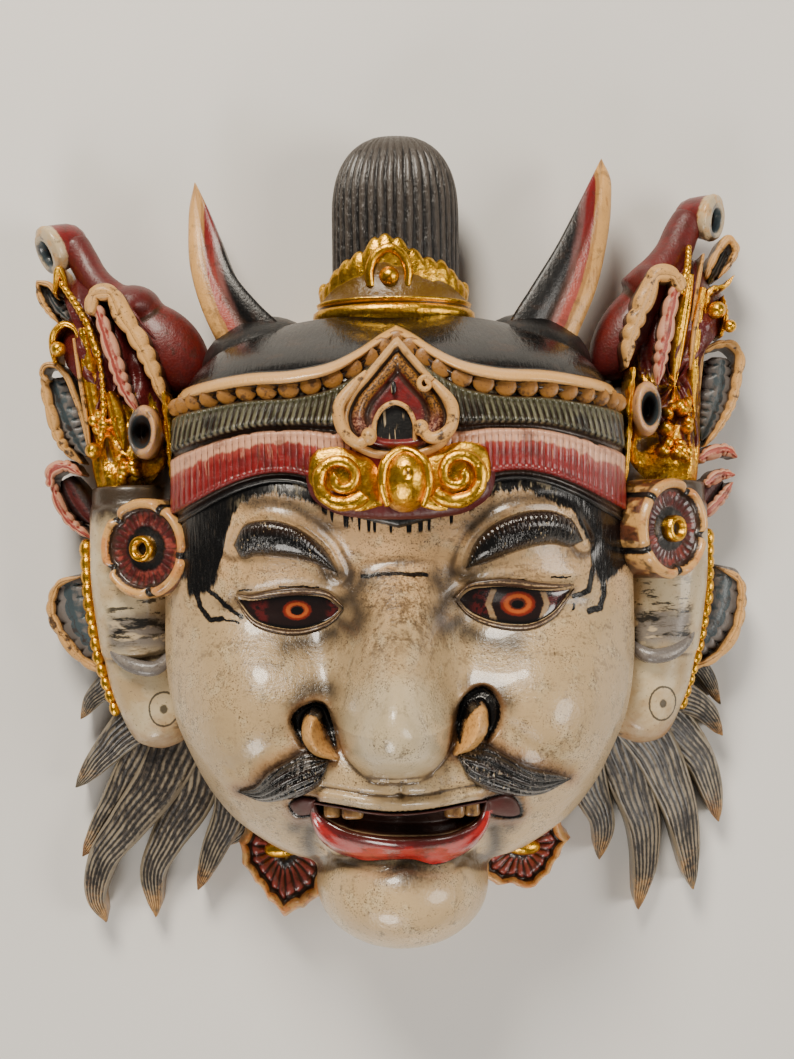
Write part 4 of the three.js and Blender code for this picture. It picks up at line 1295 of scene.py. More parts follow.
def geometry_tree(name, inputs):
    """A new geometry tree with named inputs, given as (name, kind, default). Returns it and its inputs."""
    group = bpy.data.node_groups.new(name, "GeometryNodeTree")
    group.interface.new_socket("Geometry", in_out="INPUT", socket_type="NodeSocketGeometry")
    for label, kind, default in inputs:
        socket = group.interface.new_socket(label, in_out="INPUT", socket_type=f"NodeSocket{kind}")
        if default is not None:
            socket.default_value = default
    group.interface.new_socket("Geometry", in_out="OUTPUT", socket_type="NodeSocketGeometry")
    tree = Tree(group)
    first = tree.node("NodeGroupInput")
    return tree, {label: first.output(label) for label in ("Geometry", *(label for label, _, _ in inputs))}


def end_tree(tree, geometry, material):
    solid = tree.node("GeometryNodeRealizeInstances", {}, {"Geometry": geometry})
    painted = tree.node("GeometryNodeSetMaterial", {}, {"Geometry": solid, "Material": material})
    tree.node("NodeGroupOutput", {}, {"Geometry": painted})


def row_tree():
    """Rounded bosses along a line: beads, scallops or teeth."""
    found = bpy.data.node_groups.get("row of bosses")
    if found:
        return found
    tree, given = geometry_tree("row of bosses", [
        ("Count", "Int", 8), ("First size", "Float", 0.003), ("Last size", "Float", 0.003),
        ("Long", "Float", 1.0), ("Wide", "Float", 1.0), ("High", "Float", 1.0),
        ("Material", "Material", None),
    ])
    path = tree.node("GeometryNodeMeshToCurve", {}, {"Mesh": given["Geometry"]})
    path = tree.node("GeometryNodeResampleCurve", {}, {"Curve": path, "Count": given["Count"]})
    share = tree.node("GeometryNodeSplineParameter", output="Factor")
    ahead = tree.node("GeometryNodeInputTangent")
    turned = tree.node("FunctionNodeAlignRotationToVector", {"axis": "X", "pivot_axis": "Z"},
                       {"Vector": ahead})
    size = given["First size"] + (given["Last size"] - given["First size"]) * share
    scale = tree.node("ShaderNodeCombineXYZ", {}, {
        "X": size * given["Long"], "Y": size * given["Wide"], "Z": size * given["High"],
    })
    ball = tree.node("GeometryNodeMeshUVSphere", {}, {"Segments": 12, "Rings": 8, "Radius": 1.0})
    bosses = tree.node("GeometryNodeInstanceOnPoints", {}, {
        "Points": path, "Instance": ball, "Rotation": turned, "Scale": scale,
    })
    end_tree(tree, bosses, given["Material"])
    return tree.tree


def topknot_tree():
    """A fluted drum with a rounded top, along Y."""
    tree, given = geometry_tree("fluted topknot", [
        ("Flutes", "Int", 40), ("Bottom", "Float", 0.064), ("Top", "Float", 0.147),
        ("Half width", "Float", 0.0235), ("Half depth", "Float", 0.017), ("Middle", "Float", 0.024),
        ("Groove", "Float", 0.0012), ("Material", "Material", None),
    ])
    sheet = tree.node("GeometryNodeMeshGrid", {}, {
        "Size X": 1.0, "Size Y": 1.0, "Vertices X": given["Flutes"] * 8 + 1, "Vertices Y": 60,
    })
    place = tree.node("GeometryNodeInputPosition")
    x = tree.node("ShaderNodeSeparateXYZ", {}, {"Vector": place})
    turn = (x + 0.5) * TURN
    up = x.output("Y") + 0.5
    curl = tree.node("ShaderNodeTexNoise", {}, {
        "Vector": tree.node("ShaderNodeCombineXYZ", {}, {"X": up * 3, "Y": (turn * 2).math("COSINE") * 2}),
        "Scale": 1.0, "Detail": 2.0,
    })
    phase = (turn + (curl - 0.5) * 0.12) * given["Flutes"] / 2
    rib = abs(phase.math("SINE")) ** 0.7
    above = ((up - 0.62) / 0.38).most(0)
    round_top = ((1 - above**2.6).most(0)) ** 0.42
    reach = round_top * (up / 0.01).least(1)
    groove = given["Groove"] * (1 - rib) * reach
    side = turn.math("COSINE") * (given["Half width"] * reach - groove)
    out = turn.math("SINE") * (given["Half depth"] * reach - groove)
    moved = tree.node("ShaderNodeCombineXYZ", {}, {
        "X": side, "Y": given["Bottom"] + up * (given["Top"] - given["Bottom"]), "Z": out + given["Middle"],
    })
    drum = tree.node("GeometryNodeSetPosition", {}, {"Geometry": sheet, "Position": moved})
    drum = tree.node("GeometryNodeMergeByDistance", {}, {"Geometry": drum, "Distance": 1e-6})
    end_tree(tree, drum, given["Material"])
    return tree.tree


def grow(name, group, values, path=(), patches=()):
    """The plain mesh object that a geometry tree makes, from a line of points or from four-sided patches."""
    start = bpy.data.meshes.new(name)
    points = [Vector(p) * MM for p in path]
    edges = [(i, i + 1) for i in range(len(points) - 1)]
    corners = [Vector(p) * MM for patch in patches for p in patch]
    start.from_pydata(points + corners, edges, [tuple(range(4 * i, 4 * i + 4)) for i in range(len(patches))])
    obj = new_object(name, start)
    modifier = obj.modifiers.new("Tree", "NODES")
    modifier.node_group = group
    for item in group.interface.items_tree:
        if item.in_out == "INPUT" and item.name in values:
            modifier[item.identifier] = values[item.name]
    apply_modifiers(obj)
    edit = bmesh.new()
    edit.from_mesh(obj.data)
    bmesh.ops.recalc_face_normals(edit, faces=edit.faces)
    edit.to_mesh(obj.data)
    edit.free()
    return obj


# Shapes of each piece


def beside(path, gap):
    """A line beside another one, `gap` further up the face."""
    path = np.array(path, float)
    ahead = np.gradient(path, axis=0)
    ahead /= np.linalg.norm(ahead, axis=1, keepdims=True)
    return path + np.stack([-ahead[:, 1], ahead[:, 0]], 1) * np.where(ahead[:, :1] < 0, -gap, gap)


def rolled(high):
    """The lift of a rounded ridge."""
    return lambda u, t: high * rounded(u)


def level(size):
    return lambda t: np.full_like(t, size)


def circle(middle, wide, high, z, count=72):
    """Points round an ellipse at one height."""
    angle = around(count)
    return np.c_[middle[0] + wide * np.cos(angle), middle[1] + high * np.sin(angle), np.full(count, float(z))]


def head_form():
    """The face and skull as one closed shell: rings out from the nose, down to the rim, into the hollow."""
    spokes, face_rings = 440, 180
    loop = whole_outline(line(OUTLINE, 200)) - [0, NOSE_Y]
    bearing = np.unwrap(np.arctan2(loop[:, 1], loop[:, 0]))
    angle = (np.arange(spokes) + 0.5) / spokes * TURN - math.pi / 2
    reach = np.interp(angle, bearing, np.hypot(*loop.T), period=TURN)
    aim = np.stack([np.cos(angle), np.sin(angle)], 1)
    edge = aim * reach[:, None] + [0, NOSE_Y]
    share = 1 - (1 - (np.arange(face_rings) + 1) / face_rings) ** 1.2
    flat = [0, NOSE_Y] + (edge - [0, NOSE_Y])[None] * share[:, None, None]
    face = np.dstack([flat, skin_height(flat[..., 0], flat[..., 1])])
    # The side wall, as shares of the way out and heights
    levels = [(1, 22), (0.996, 14), (0.985, 8), (0.972, 3), (0.96, 0)]
    wall = [np.c_[[0, NOSE_Y] + (edge - [0, NOSE_Y]) * s, np.full(spokes, z)] for s, z in levels]
    tilt = np.linspace(0, 0.995, 20) * math.pi / 2
    round_edge = np.stack([np.cos(angle) * CAVITY["half_width"], np.sin(angle) * CAVITY["half_height"]], 1)
    hollow = [
        np.c_[round_edge * math.cos(a) + [0, CAVITY["middle"]],
              np.full(spokes, CAVITY["depth"] * math.sin(a))]
        for a in tilt
    ]
    rings = np.concatenate([face, wall, hollow])
    x, y = rings[..., 0], rings[..., 1]
    side = np.abs(x)
    outer = np.arange(len(rings))[:, None] < face_rings + 2
    far = np.where(outer, 0, 100.0)

    def nearest(paths, gap=gap_to, across=x):
        return np.minimum.reduce([gap(line(path, 20), across, y) for path in paths]) + far

    under_lip = np.hypot((x - 2) / 2.4, y + 112) - 1
    values = {
        "hair": np.where(outer, y - hair_edge(x), -50),
        "skull": np.where(outer, y - tiara_edge(side), -50),
        "halo": nearest([[(px, py) for px, py, _ in nostril["groove"]] for nostril in NOSTRILS]
                        + [moustache["upper"] for moustache in MOUSTACHES]
                        + [tab + tab[:1] for tab in RED_TABS]),
        "smoke": np.minimum(nearest(SMUDGES, across=side), under_lip + far),
        "groove": nearest([nostril["groove"] for nostril in NOSTRILS], taper_gap),
        "wing": -nearest([nostril["wing"] for nostril in NOSTRILS], taper_gap),
        "sideburn": nearest(SIDEBURNS, taper_gap),
        "lipline": gap_to(line(MOUTH_TOP, 40), x, y) + far,
        "tabline": nearest([tab + tab[:1] for tab in RED_TABS]),
        "mouth": within(MOUTH_TOP, LIP_INNER, x, y) - far,
    }
    points, faces, values = loft(rings, values)
    form = Form().add(points, faces, values)
    # The rim's underside and the hollow are bare wood
    inner = (face_rings + 3) * spokes
    form.slots = [1 if min(face) >= inner else 0 for face in form.faces]
    return form


def brow_form():
    """Both brows, domed; the right one is cut with upright ribs along its top."""
    form = Form()
    ribs = 29
    for brow, cut in zip(BROWS, (0.5, 0.16)):

        def lift(u, t, cut=cut):
            dome = 5.2 * rounded(u) * np.clip(np.sin(math.pi * t), 0, 1) ** 0.35
            rib = np.abs(np.sin((t * ribs + u * 0.12) * math.pi)) ** 0.5
            return dome - cut * (1 - rib) * smooth(0.1, 0.5, u) * smooth(0, 3, dome)

        form.add(*strip(line(brow["lower"], 240), line(brow["upper"], 240), lift, 3, 18, ground=face_height))
    return form


def lid_form():
    """Thin ivory edges round each eye."""
    form = Form()
    for eye in EYES:
        for path, gap, wide, high in ((eye["upper"], 1.0, 2.4, 2.2), (eye["lower"], -0.6, 1.5, 1.0)):
            width = profile([(0, 0.6), (0.25, wide), (0.75, wide), (1, 0.6)])
            form.add(*ribbon(beside(path, gap), width, rolled(high), 2, 80, 8, ground=face_height))
    return form


def eye_form():
    def lift(u, t):
        return 2.4 * rounded(u) * np.sqrt(np.clip(np.sin(math.pi * t), 0, 1)) - 1.2

    form = Form()
    for eye in EYES:
        form.add(*strip(line(eye["lower"], 90), line(eye["upper"], 90), lift, 4, 24, ground=face_height))
    return form


def moustache_form():
    """Two halves of wavy strands."""

    def lift(u, t):
        ends = np.clip(np.sin(math.pi * np.clip(t * 0.93 + 0.05, 0, 1)), 0, 1) ** 0.5
        dome = 5.8 * rounded(u) * ends
        strand = np.abs(np.sin((u * 2.4 + 0.22 * np.sin(t * 11) + t * 0.6) * math.pi)) ** 0.6
        return dome * (0.74 + 0.26 * strand)

    form = Form()
    for half in MOUSTACHES:
        form.add(*strip(line(half["lower"], 130), line(half["upper"], 130), lift, 3, 40, ground=face_height))
    return form


def lip_form():
    """The lower lip, a red edge under the upper one, and a tab at each corner."""

    def lower(u, t):
        roll = rounded(u * 0.9 + 0.1) + 0.25 * bump(u, -0.55, 0.35)
        return 4.6 * roll * np.clip(np.sin(math.pi * t), 0, 1) ** 0.4 - 0.6

    form = Form().add(*strip(line(LIP_OUTER, 150), line(LIP_INNER, 150), lower, 6, 24, ground=face_height))
    form.add(*ribbon(beside(MOUTH_TOP, -0.7), level(0.9), rolled(0.9), 3, 110, 8, ground=face_height))
    for tab in RED_TABS:
        outline = line(tab + tab[:1], 50)[:-1]
        outline = np.c_[outline, face_height(*outline.T) - 0.6]
        form.add(*plate(outline, lambda s, turn: 2.4 * rounded(s, 3), 3, 8))
    return form


def tooth_form():
    """Worn square teeth, two at each side."""
    form = Form()
    for middle, wide in ((-23.0, 2.8), (-16.2, 3.6), (17.2, 3.4), (23.2, 2.6)):
        angle = around(40)
        square = np.abs(np.stack([np.cos(angle), np.sin(angle)], 1)) ** 0.5
        square *= np.sign(np.stack([np.cos(angle), np.sin(angle)], 1)) * [wide, 2.6]
        outline = np.c_[square + [middle, -91.0], np.full(40, float(face_height(middle, -89)) - 3.4)]
        form.add(*plate(outline, lambda s, turn: 1.8 * rounded(s, 4), 7, 8))
    return form


# Where the headband's olive part ends, as a share of its height, and the width of the rows above it
OLIVE_END = 0.75
BAND_TOP = 8.8


def band_place(x, share):
    """Where a share of the headband's height lies: its top parts keep the same width all along."""
    low, high = hairline(np.abs(x)), tiara_edge(np.abs(x))
    below = low + share / OLIVE_END * (high - BAND_TOP - low)
    above = high - BAND_TOP + (share - OLIVE_END) / (1 - OLIVE_END) * BAND_TOP
    return np.where(share < OLIVE_END, below, above)


def band_form():
    """The headband from the hairline to the tiara's edge."""
    sizes = bpy.context.scene.mask_sizes
    half, rows = 79, 640
    first, last = -0.12, 1.1
    x = np.linspace(-half, half, rows)
    section = profile([
        (-0.12, -4), (-0.1, 0.6), (-0.05, 1.2), (-0.01, 1.6), (0.0, 3.4), (0.06, 4.8), (0.2, 5.2),
        (0.36, 5.8), (0.41, 5.8), (0.43, 3.0), (0.47, 2.6), (0.485, 4.4), (0.55, 5.0), (0.7, 5.0),
        (0.745, 4.2), (0.755, 2.2), (0.86, 2.4), (0.89, 1.8), (0.9, 4.6), (0.93, 5.8), (0.97, 5.8),
        (1.0, 4.8), (1.03, 2), (1.1, -6),
    ])

    def share_of(u):
        return mix(first, last, (u + 1) / 2)

    def flute_at(u, t):
        share = share_of(u)
        curved = smooth(0.48, 0.5, share) * (share - 0.6) * 4.5
        across = (t * 2 - 1) * sizes.band_flutes / 2
        return np.abs(np.sin((across + np.sign(t - 0.5) * curved) * math.pi))

    def lift(u, t):
        share = share_of(u)
        red = (share > 0) & (share < 0.41)
        olive = (share > 0.485) & (share < 0.745)
        return section(share) - np.where(red, 0.5, np.where(olive, 1.1, 0)) * (1 - flute_at(u, t)) ** 1.5

    left = np.stack([x, np.full(rows, first)], 1)
    right = np.stack([x, np.full(rows, last)], 1)
    points, faces, values = strip(left, right, lift, 4, 66)
    points[:, 1] = band_place(points[:, 0], points[:, 1])
    points[:, 2] += face_height(points[:, 0], points[:, 1])
    u, t = values["across"], values["along"]
    return Form().add(points, faces, {"share": share_of(u), "flute": flute_at(u, t)})


def scallop_path():
    """Points along the row of scallops under the tiara's edge."""
    x = np.linspace(-77, 77, 120)
    y = band_place(x, np.full(120, 0.85))
    return np.c_[x, y, face_height(x, y) + 2.2]


def spiral(middle, first, last, start, turns, count=40):
    """Points on a spiral, from the outer radius to the inner one."""
    share = np.linspace(0, 1, count)
    angle = start + turns * TURN * share
    radius = mix(first, last, share)
    return np.stack([middle[0] + radius * np.cos(angle), middle[1] + radius * np.sin(angle)], 1)


def clover_form():
    """The gilt boss, a horseshoe ridge on it, and a ribbed scroll at each side."""

    def dome(s, turn):
        return 14 * rounded(s) - 1.4 * bump(s, 0, 0.12)

    form = Form().add(*plate(circle((2.2, 17.9), 9.5, 11.5, 83), dome, 4, 24, middle=(3.1, 19.4, 83)))
    shoe = [(-3.6, 9, 90), (-5.2, 16, 93), (-4, 23, 93.4), (1.8, 27, 92), (8.4, 23, 93.4), (9.8, 16, 93),
            (8, 9, 90)]
    form.add(*tube(shoe, profile([(0, 1), (0.3, 1.7), (0.5, 1.2), (0.7, 1.7), (1, 1)]), 90, 12))
    shape = [(5, 9), (14, 6.6), (22, 8.4), (28.5, 13.6), (30, 21), (28, 28), (21, 30.4), (14, 28.4),
             (8, 25), (5, 16)]
    for side, (wide, tall, start) in ((1, (1.0, 1.0, 0.4)), (-1, (0.98, 0.94, 0.0))):
        outline = line(np.array(shape + shape[:1], float), 73)[:-1] * [side * wide, 1] + [start, 0]
        outline[:, 1] = 8 + (outline[:, 1] - 8) * tall
        outline = np.c_[outline, np.full(72, 85.5)]
        form.add(*plate(outline, lambda s, turn: 2.4 * rounded(s, 3), 6, 14))
        path = spiral((19.0, 19.0), 9.4, 1.6, -2.5, 1.5, 60)
        path = np.c_[path, 88.5 + np.linspace(0, 2.5, 60)]
        path = path * [side * wide, tall, 1] + [start, 1.2 * (1 - tall), 0]

        def thick(t):
            return mix(2.5, 1.6, t) * (1 + 0.12 * np.abs(np.sin(t * 26)) * (t < 0.45))

        form.add(*tube(path, thick, 130, 12, flat=0.9))
    return form


def jewel_plate_form():
    """The dark red ground round the scrolls."""
    right = [(0, 4.5), (12, 5), (22, 7), (29, 12), (31, 21), (28.5, 30), (20, 32), (8, 31), (0, 30)]
    loop = whole_outline(line(right, 50))
    outline = np.c_[loop + [0.8, 0], face_height(*loop.T) + 4.0]
    return Form().add(*plate(outline, lambda s, turn: 2.2 * rounded(s, 6), 6, 12, middle=(0.8, 18, 84)))


def pointed_leaf_form():
    """The pointed leaf above the boss, as one plate."""
    right = [(0, 24), (9, 25), (16, 29), (19, 37), (16, 45.5), (11, 51.5), (5.5, 58), (0.4, 64)]
    loop = whole_outline(line(right, 60))
    outline = np.c_[loop, np.full(len(loop), 84.0)]
    section = profile([
        (0, 1.2), (0.4, 1.6), (0.55, 2), (0.59, 3.4), (0.78, 3.8), (0.81, 3), (0.86, 5.4), (0.94, 5.4),
        (1, 3.6),
    ])
    return Form().add(*plate(outline, lambda s, turn: section(s), 5, 40, middle=(0, 40, 84)))


def curl_form():
    """Thick cream curls on the pointed leaf, not quite alike, and the arch of the niche."""
    form = Form()
    left = [(-10, 52.6, 88), (-14.7, 47.5, 90), (-19, 41, 91), (-16.8, 32.3, 91), (-12.5, 29.2, 91),
            (-9.5, 31, 91)]
    right = [(9.4, 51.4, 88), (13.4, 47, 90), (17.8, 40.6, 91), (16.5, 33.2, 91), (10.4, 30.8, 91),
             (7.6, 33.4, 91)]
    for path in (left, right):
        form.add(*tube(path, profile([(0, 0.8), (0.25, 1.7), (0.7, 2.0), (1, 1.8)]), 90, 14))
    form.add(*ellipsoid((-9.3, 31.4, 91), (2.6, 2.9, 2.8), 20, 12))
    form.add(*ellipsoid((7.5, 34, 91), (2.5, 2.7, 2.6), 20, 12))
    scroll = spiral((9.1, 48.2), 2.6, 0.9, 0.5, 1.2)
    form.add(*tube(np.c_[scroll, np.full(len(scroll), 90.0)], level(0.9), 60, 10))
    arch = [(-7.6, 30, 88), (-7.4, 36, 88.6), (-4.4, 41, 89), (-1, 42.4, 89), (2.6, 41, 89),
            (5.4, 36, 88.6), (5.6, 30, 88)]
    return form.add(*tube(arch, level(0.8), 90, 10))


def niche_form():
    """The dark arched niche and the almond slit above it."""
    arch = line([(-7.4, 29), (-7.3, 36), (-4, 40.8), (-1, 42), (2.2, 40.8), (5.2, 36), (5.4, 29), (-1, 28),
                 (-7.4, 29)], 50)
    outline = np.c_[arch[:-1], np.full(49, 86.0)]
    form = Form().add(*plate(outline, lambda s, turn: 1.4 + 0 * s, 3, 6))
    return form.add(*plate(circle((-1.2, 47.4), 0.9, 2.2, 86.4, 24), lambda s, turn: 1.0 - 0.4 * s, 2, 4))


CROWN_TOP = [
    (-30, 88), (-26.9, 91), (-22.8, 96), (-17.3, 99.7), (-10.7, 103), (-7.5, 106.2), (-3, 106.8),
    (1.2, 106), (7.9, 101.9), (14, 99), (20, 98), (26, 92.5), (30, 88),
]


def crown_form():
    """The gilt crown round the topknot: a rolled base and a wall of rounded fingers, highest in front."""
    count, fingers, bottom, base = 240, 15, 77.5, 12.0
    angle = (np.arange(count) + 0.5) / count * TURN
    across = 29.0 * np.cos(angle)
    front = smooth(-0.1, 0.25, np.sin(angle))
    wall = mix(16.0, profile(CROWN_TOP)(across) - bottom, front)
    finger = np.abs(np.cos(angle * fingers)) ** 0.45
    # How high, as a share of the base or of the wall, how wide, and whether it follows the wall
    levels = [
        (-0.3, 0.86, 0), (-0.1, 0.92, 0), (0.02, 1.0, 0), (0.14, 1.035, 0), (0.28, 1.03, 0),
        (0.36, 0.99, 0), (0.39, 0.92, 0), (0.44, 0.92, 0), (0.48, 0.98, 0), (0.56, 0.99, 0),
        (0.62, 0.94, 0), (0.62, 0.95, 1), (0.78, 0.965, 1), (0.9, 0.955, 1), (0.97, 0.93, 1), (1.0, 0.9, 1),
        (0.97, 0.86, 1), (0.6, 0.84, 1), (-0.3, 0.7, 0),
    ]
    rings = []
    for share, reach, follows in levels:
        top = wall - 2.6 * (1 - finger) * (share > 0.9)
        y = bottom + (share * top if follows else share * base)
        rib = 1 - 0.035 * (1 - finger) * smooth(0.55, 0.8, share) * follows
        swell = 1 + 0.05 * bump(across, -3, 7) * front * smooth(0.5, 0.8, share) * follows
        rings.append(np.stack([
            -0.8 + across * reach * rib, y * np.ones(count), 24 + np.sin(angle) * 22 * reach * rib * swell,
        ], 1))
    return Form().add(*loft(np.array(rings)))


def crown_front_form():
    """The leaf in the middle of the crown: a raised arch over a knob."""
    arch = [(-9, 88.5, 43), (-9.4, 94, 44.6), (-6.6, 99.4, 45.6), (-2.6, 101.4, 46), (1.6, 99.6, 45.6),
            (4.4, 94, 44.6), (4, 88.5, 43)]
    form = Form().add(*tube(arch, level(1.7), 90, 12))
    return form.add(*ellipsoid((-2.4, 91.6, 44.5), (3.6, 3.4, 3.6), 24, 14))


# Each ear from its foot to its tip: along its outer edge and along its inner one
EARS = [
    {
        "outer": [(62, 62), (65.5, 71), (71.9, 86), (76.5, 103), (79.2, 120), (79.4, 131), (77, 137.3)],
        "back": [(34, 60), (41, 76), (48, 87), (58.7, 104), (65.6, 116.7), (71.6, 128.2), (76, 136.8)],
    },
    {
        "outer": [(-60, 61), (-64.5, 69), (-71.3, 84.6), (-74.7, 97.8), (-75.7, 112), (-75.6, 122),
                  (-74.3, 130.3)],
        "back": [(-33, 60), (-40.3, 73.6), (-49.5, 83), (-57.6, 93), (-64, 108.3), (-69.7, 122),
                 (-73.4, 129.8)],
    },
]


def ear_form():
    """Pointed ears, each hollowed a little behind its outer edge."""
    rows, across = 110, 30
    form = Form()

    def lift(u, t):
        edge = 2.0 * rounded((u - 0.6) / 0.4) * (u > 0.6) + 2.0 * (u <= 0.6)
        trough = -1.4 * bump(u, 0.0, 0.3)
        return (edge + trough + 2.6 * rounded((u - 0.2) / 1.2)) * mix(1.1, 0.4, t)

    for ear in EARS:
        outer, back = line(ear["outer"], rows), line(ear["back"], rows)
        t = np.linspace(0, 1, rows)
        height = profile([(0, 40), (0.3, 40), (0.7, 35), (1, 27)])(t)
        sink = profile([(0, 18), (0.4, 14), (0.8, 8), (1, 3)])(t)
        wide = np.linalg.norm(outer - back, axis=1)
        points, faces, values = strip(np.c_[back, height], np.c_[outer, height - 4], lift, sink, across)
        values["inset"] = (1 - values["across"]) / 2 * np.interp(values["along"], t, wide)
        form.add(points, faces, values)
    foot = ellipsoid((50, 62, 30), (22, 17, 22), 40, 24, -0.35)
    feet = Form().add(foot[0], foot[1], {"inset": np.full(len(foot[0]), 20.0)}).both_sides()
    return form.join(feet)


# Each wing's rolled end: the middle of its open face and of its closed one, its radius, and how far its hole
# lies off the middle
CURLS = [
    {"open": (117.8, 116.4), "closed": (109, 118.4), "radius": 8.8, "hole": (1.6, -1.0)},
    {"open": (-128.2, 107.2), "closed": (-118.6, 112.4), "radius": 9.4, "hole": (-1.8, -1.4)},
]


def wing_form():
    """The red bodies of the wings, running into the necks of the curls."""
    form = Form()
    form.add(*ellipsoid((87, 74, 22), (12, 21, 11), 48, 28, -0.6))
    form.add(*ellipsoid((93, 90, 23), (8, 9, 13), 30, 20, 0))
    form.add(*ellipsoid((-86, 69, 22), (14, 20, 11), 48, 28, 0.7))
    form.add(*ellipsoid((-97, 85, 23), (10, 8, 13), 30, 20, 0))
    right = [(91, 86, 24), (98, 95, 24), (103.4, 103, 22), (107, 111, 20), (110.6, 117, 19)]
    left = [(-96, 80, 24), (-105, 87.5, 24), (-112, 95, 22), (-116.6, 103, 20), (-121, 109.6, 19)]
    for path, wide in ((right, 1.15), (left, 1.0)):
        form.add(*tube(path, profile([(0, 9 * wide), (0.4, 6.6 * wide), (0.8, 5.8 * wide), (1, 6.4)]),
                       60, 24))
    for x, y, z, angle in ((-92, 77, 37, -0.9), (88, 84, 36, 1.0)):
        reach = np.array([math.cos(angle), math.sin(angle), 0]) * 9
        form.add(*tube([np.array([x, y, z]) - reach, (x, y, z + 1.4), np.array([x, y, z]) + reach],
                       level(1.2), 20, 8))
    return form


def barrel_form():
    """The rolled ends of the wings: short thick barrels with a deep hole that faces outward."""
    form = Form()
    # How wide, how far out along the barrel, and which part of its paint
    levels = [
        (0.1, -13.6, 1.3), (0.4, -13, 1.3), (0.62, -11.4, 1.3), (0.78, -8.6, 1.25), (0.88, -4.6, 1.12),
        (0.95, -1, 1.0), (1.0, 0.6, 0.95), (0.96, 1.8, 0.88), (0.88, 1.9, 0.8), (0.8, 1.0, 0.72),
        (0.72, 0.9, 0.66), (0.6, 1.0, 0.56), (0.5, 0.4, 0.48), (0.42, -2, 0.38), (0.36, -6, 0.2),
        (0.1, -7, 0.1),
    ]
    count = 56
    angle = around(count)
    for curl in CURLS:
        face, back = np.array([*curl["open"], 20.0]), np.array([*curl["closed"], 20.0])
        out = face - back + [0, 0, 6.0]
        out /= np.linalg.norm(out)
        across = np.cross(out, [0, 1, 0])
        across /= np.linalg.norm(across)
        up = np.cross(across, out)
        round_edge = np.cos(angle)[:, None] * across + np.sin(angle)[:, None] * up
        off = np.array([*curl["hole"], 0.0])
        rings = np.array([
            face + off * (mark < 0.75) + round_edge * curl["radius"] * reach + out * rise
            for reach, rise, mark in levels
        ])
        shares = np.repeat([[mark] for _, _, mark in levels], count, axis=1)
        form.add(*loft(rings, {"share": shares}))
    return form


def smoothed(name, form, voxel, rounds, finish_name):
    """Forms run together into one skin, softened."""
    obj = new_object(name, form.mesh(name))
    remesh = obj.modifiers.new("Join", "REMESH")
    remesh.mode = "VOXEL"
    remesh.voxel_size = voxel * MM
    soften = obj.modifiers.new("Soften", "SMOOTH")
    soften.iterations = rounds
    apply_modifiers(obj)
    obj.data.materials.clear()
    obj.data.materials.append(finish(finish_name))
    return obj


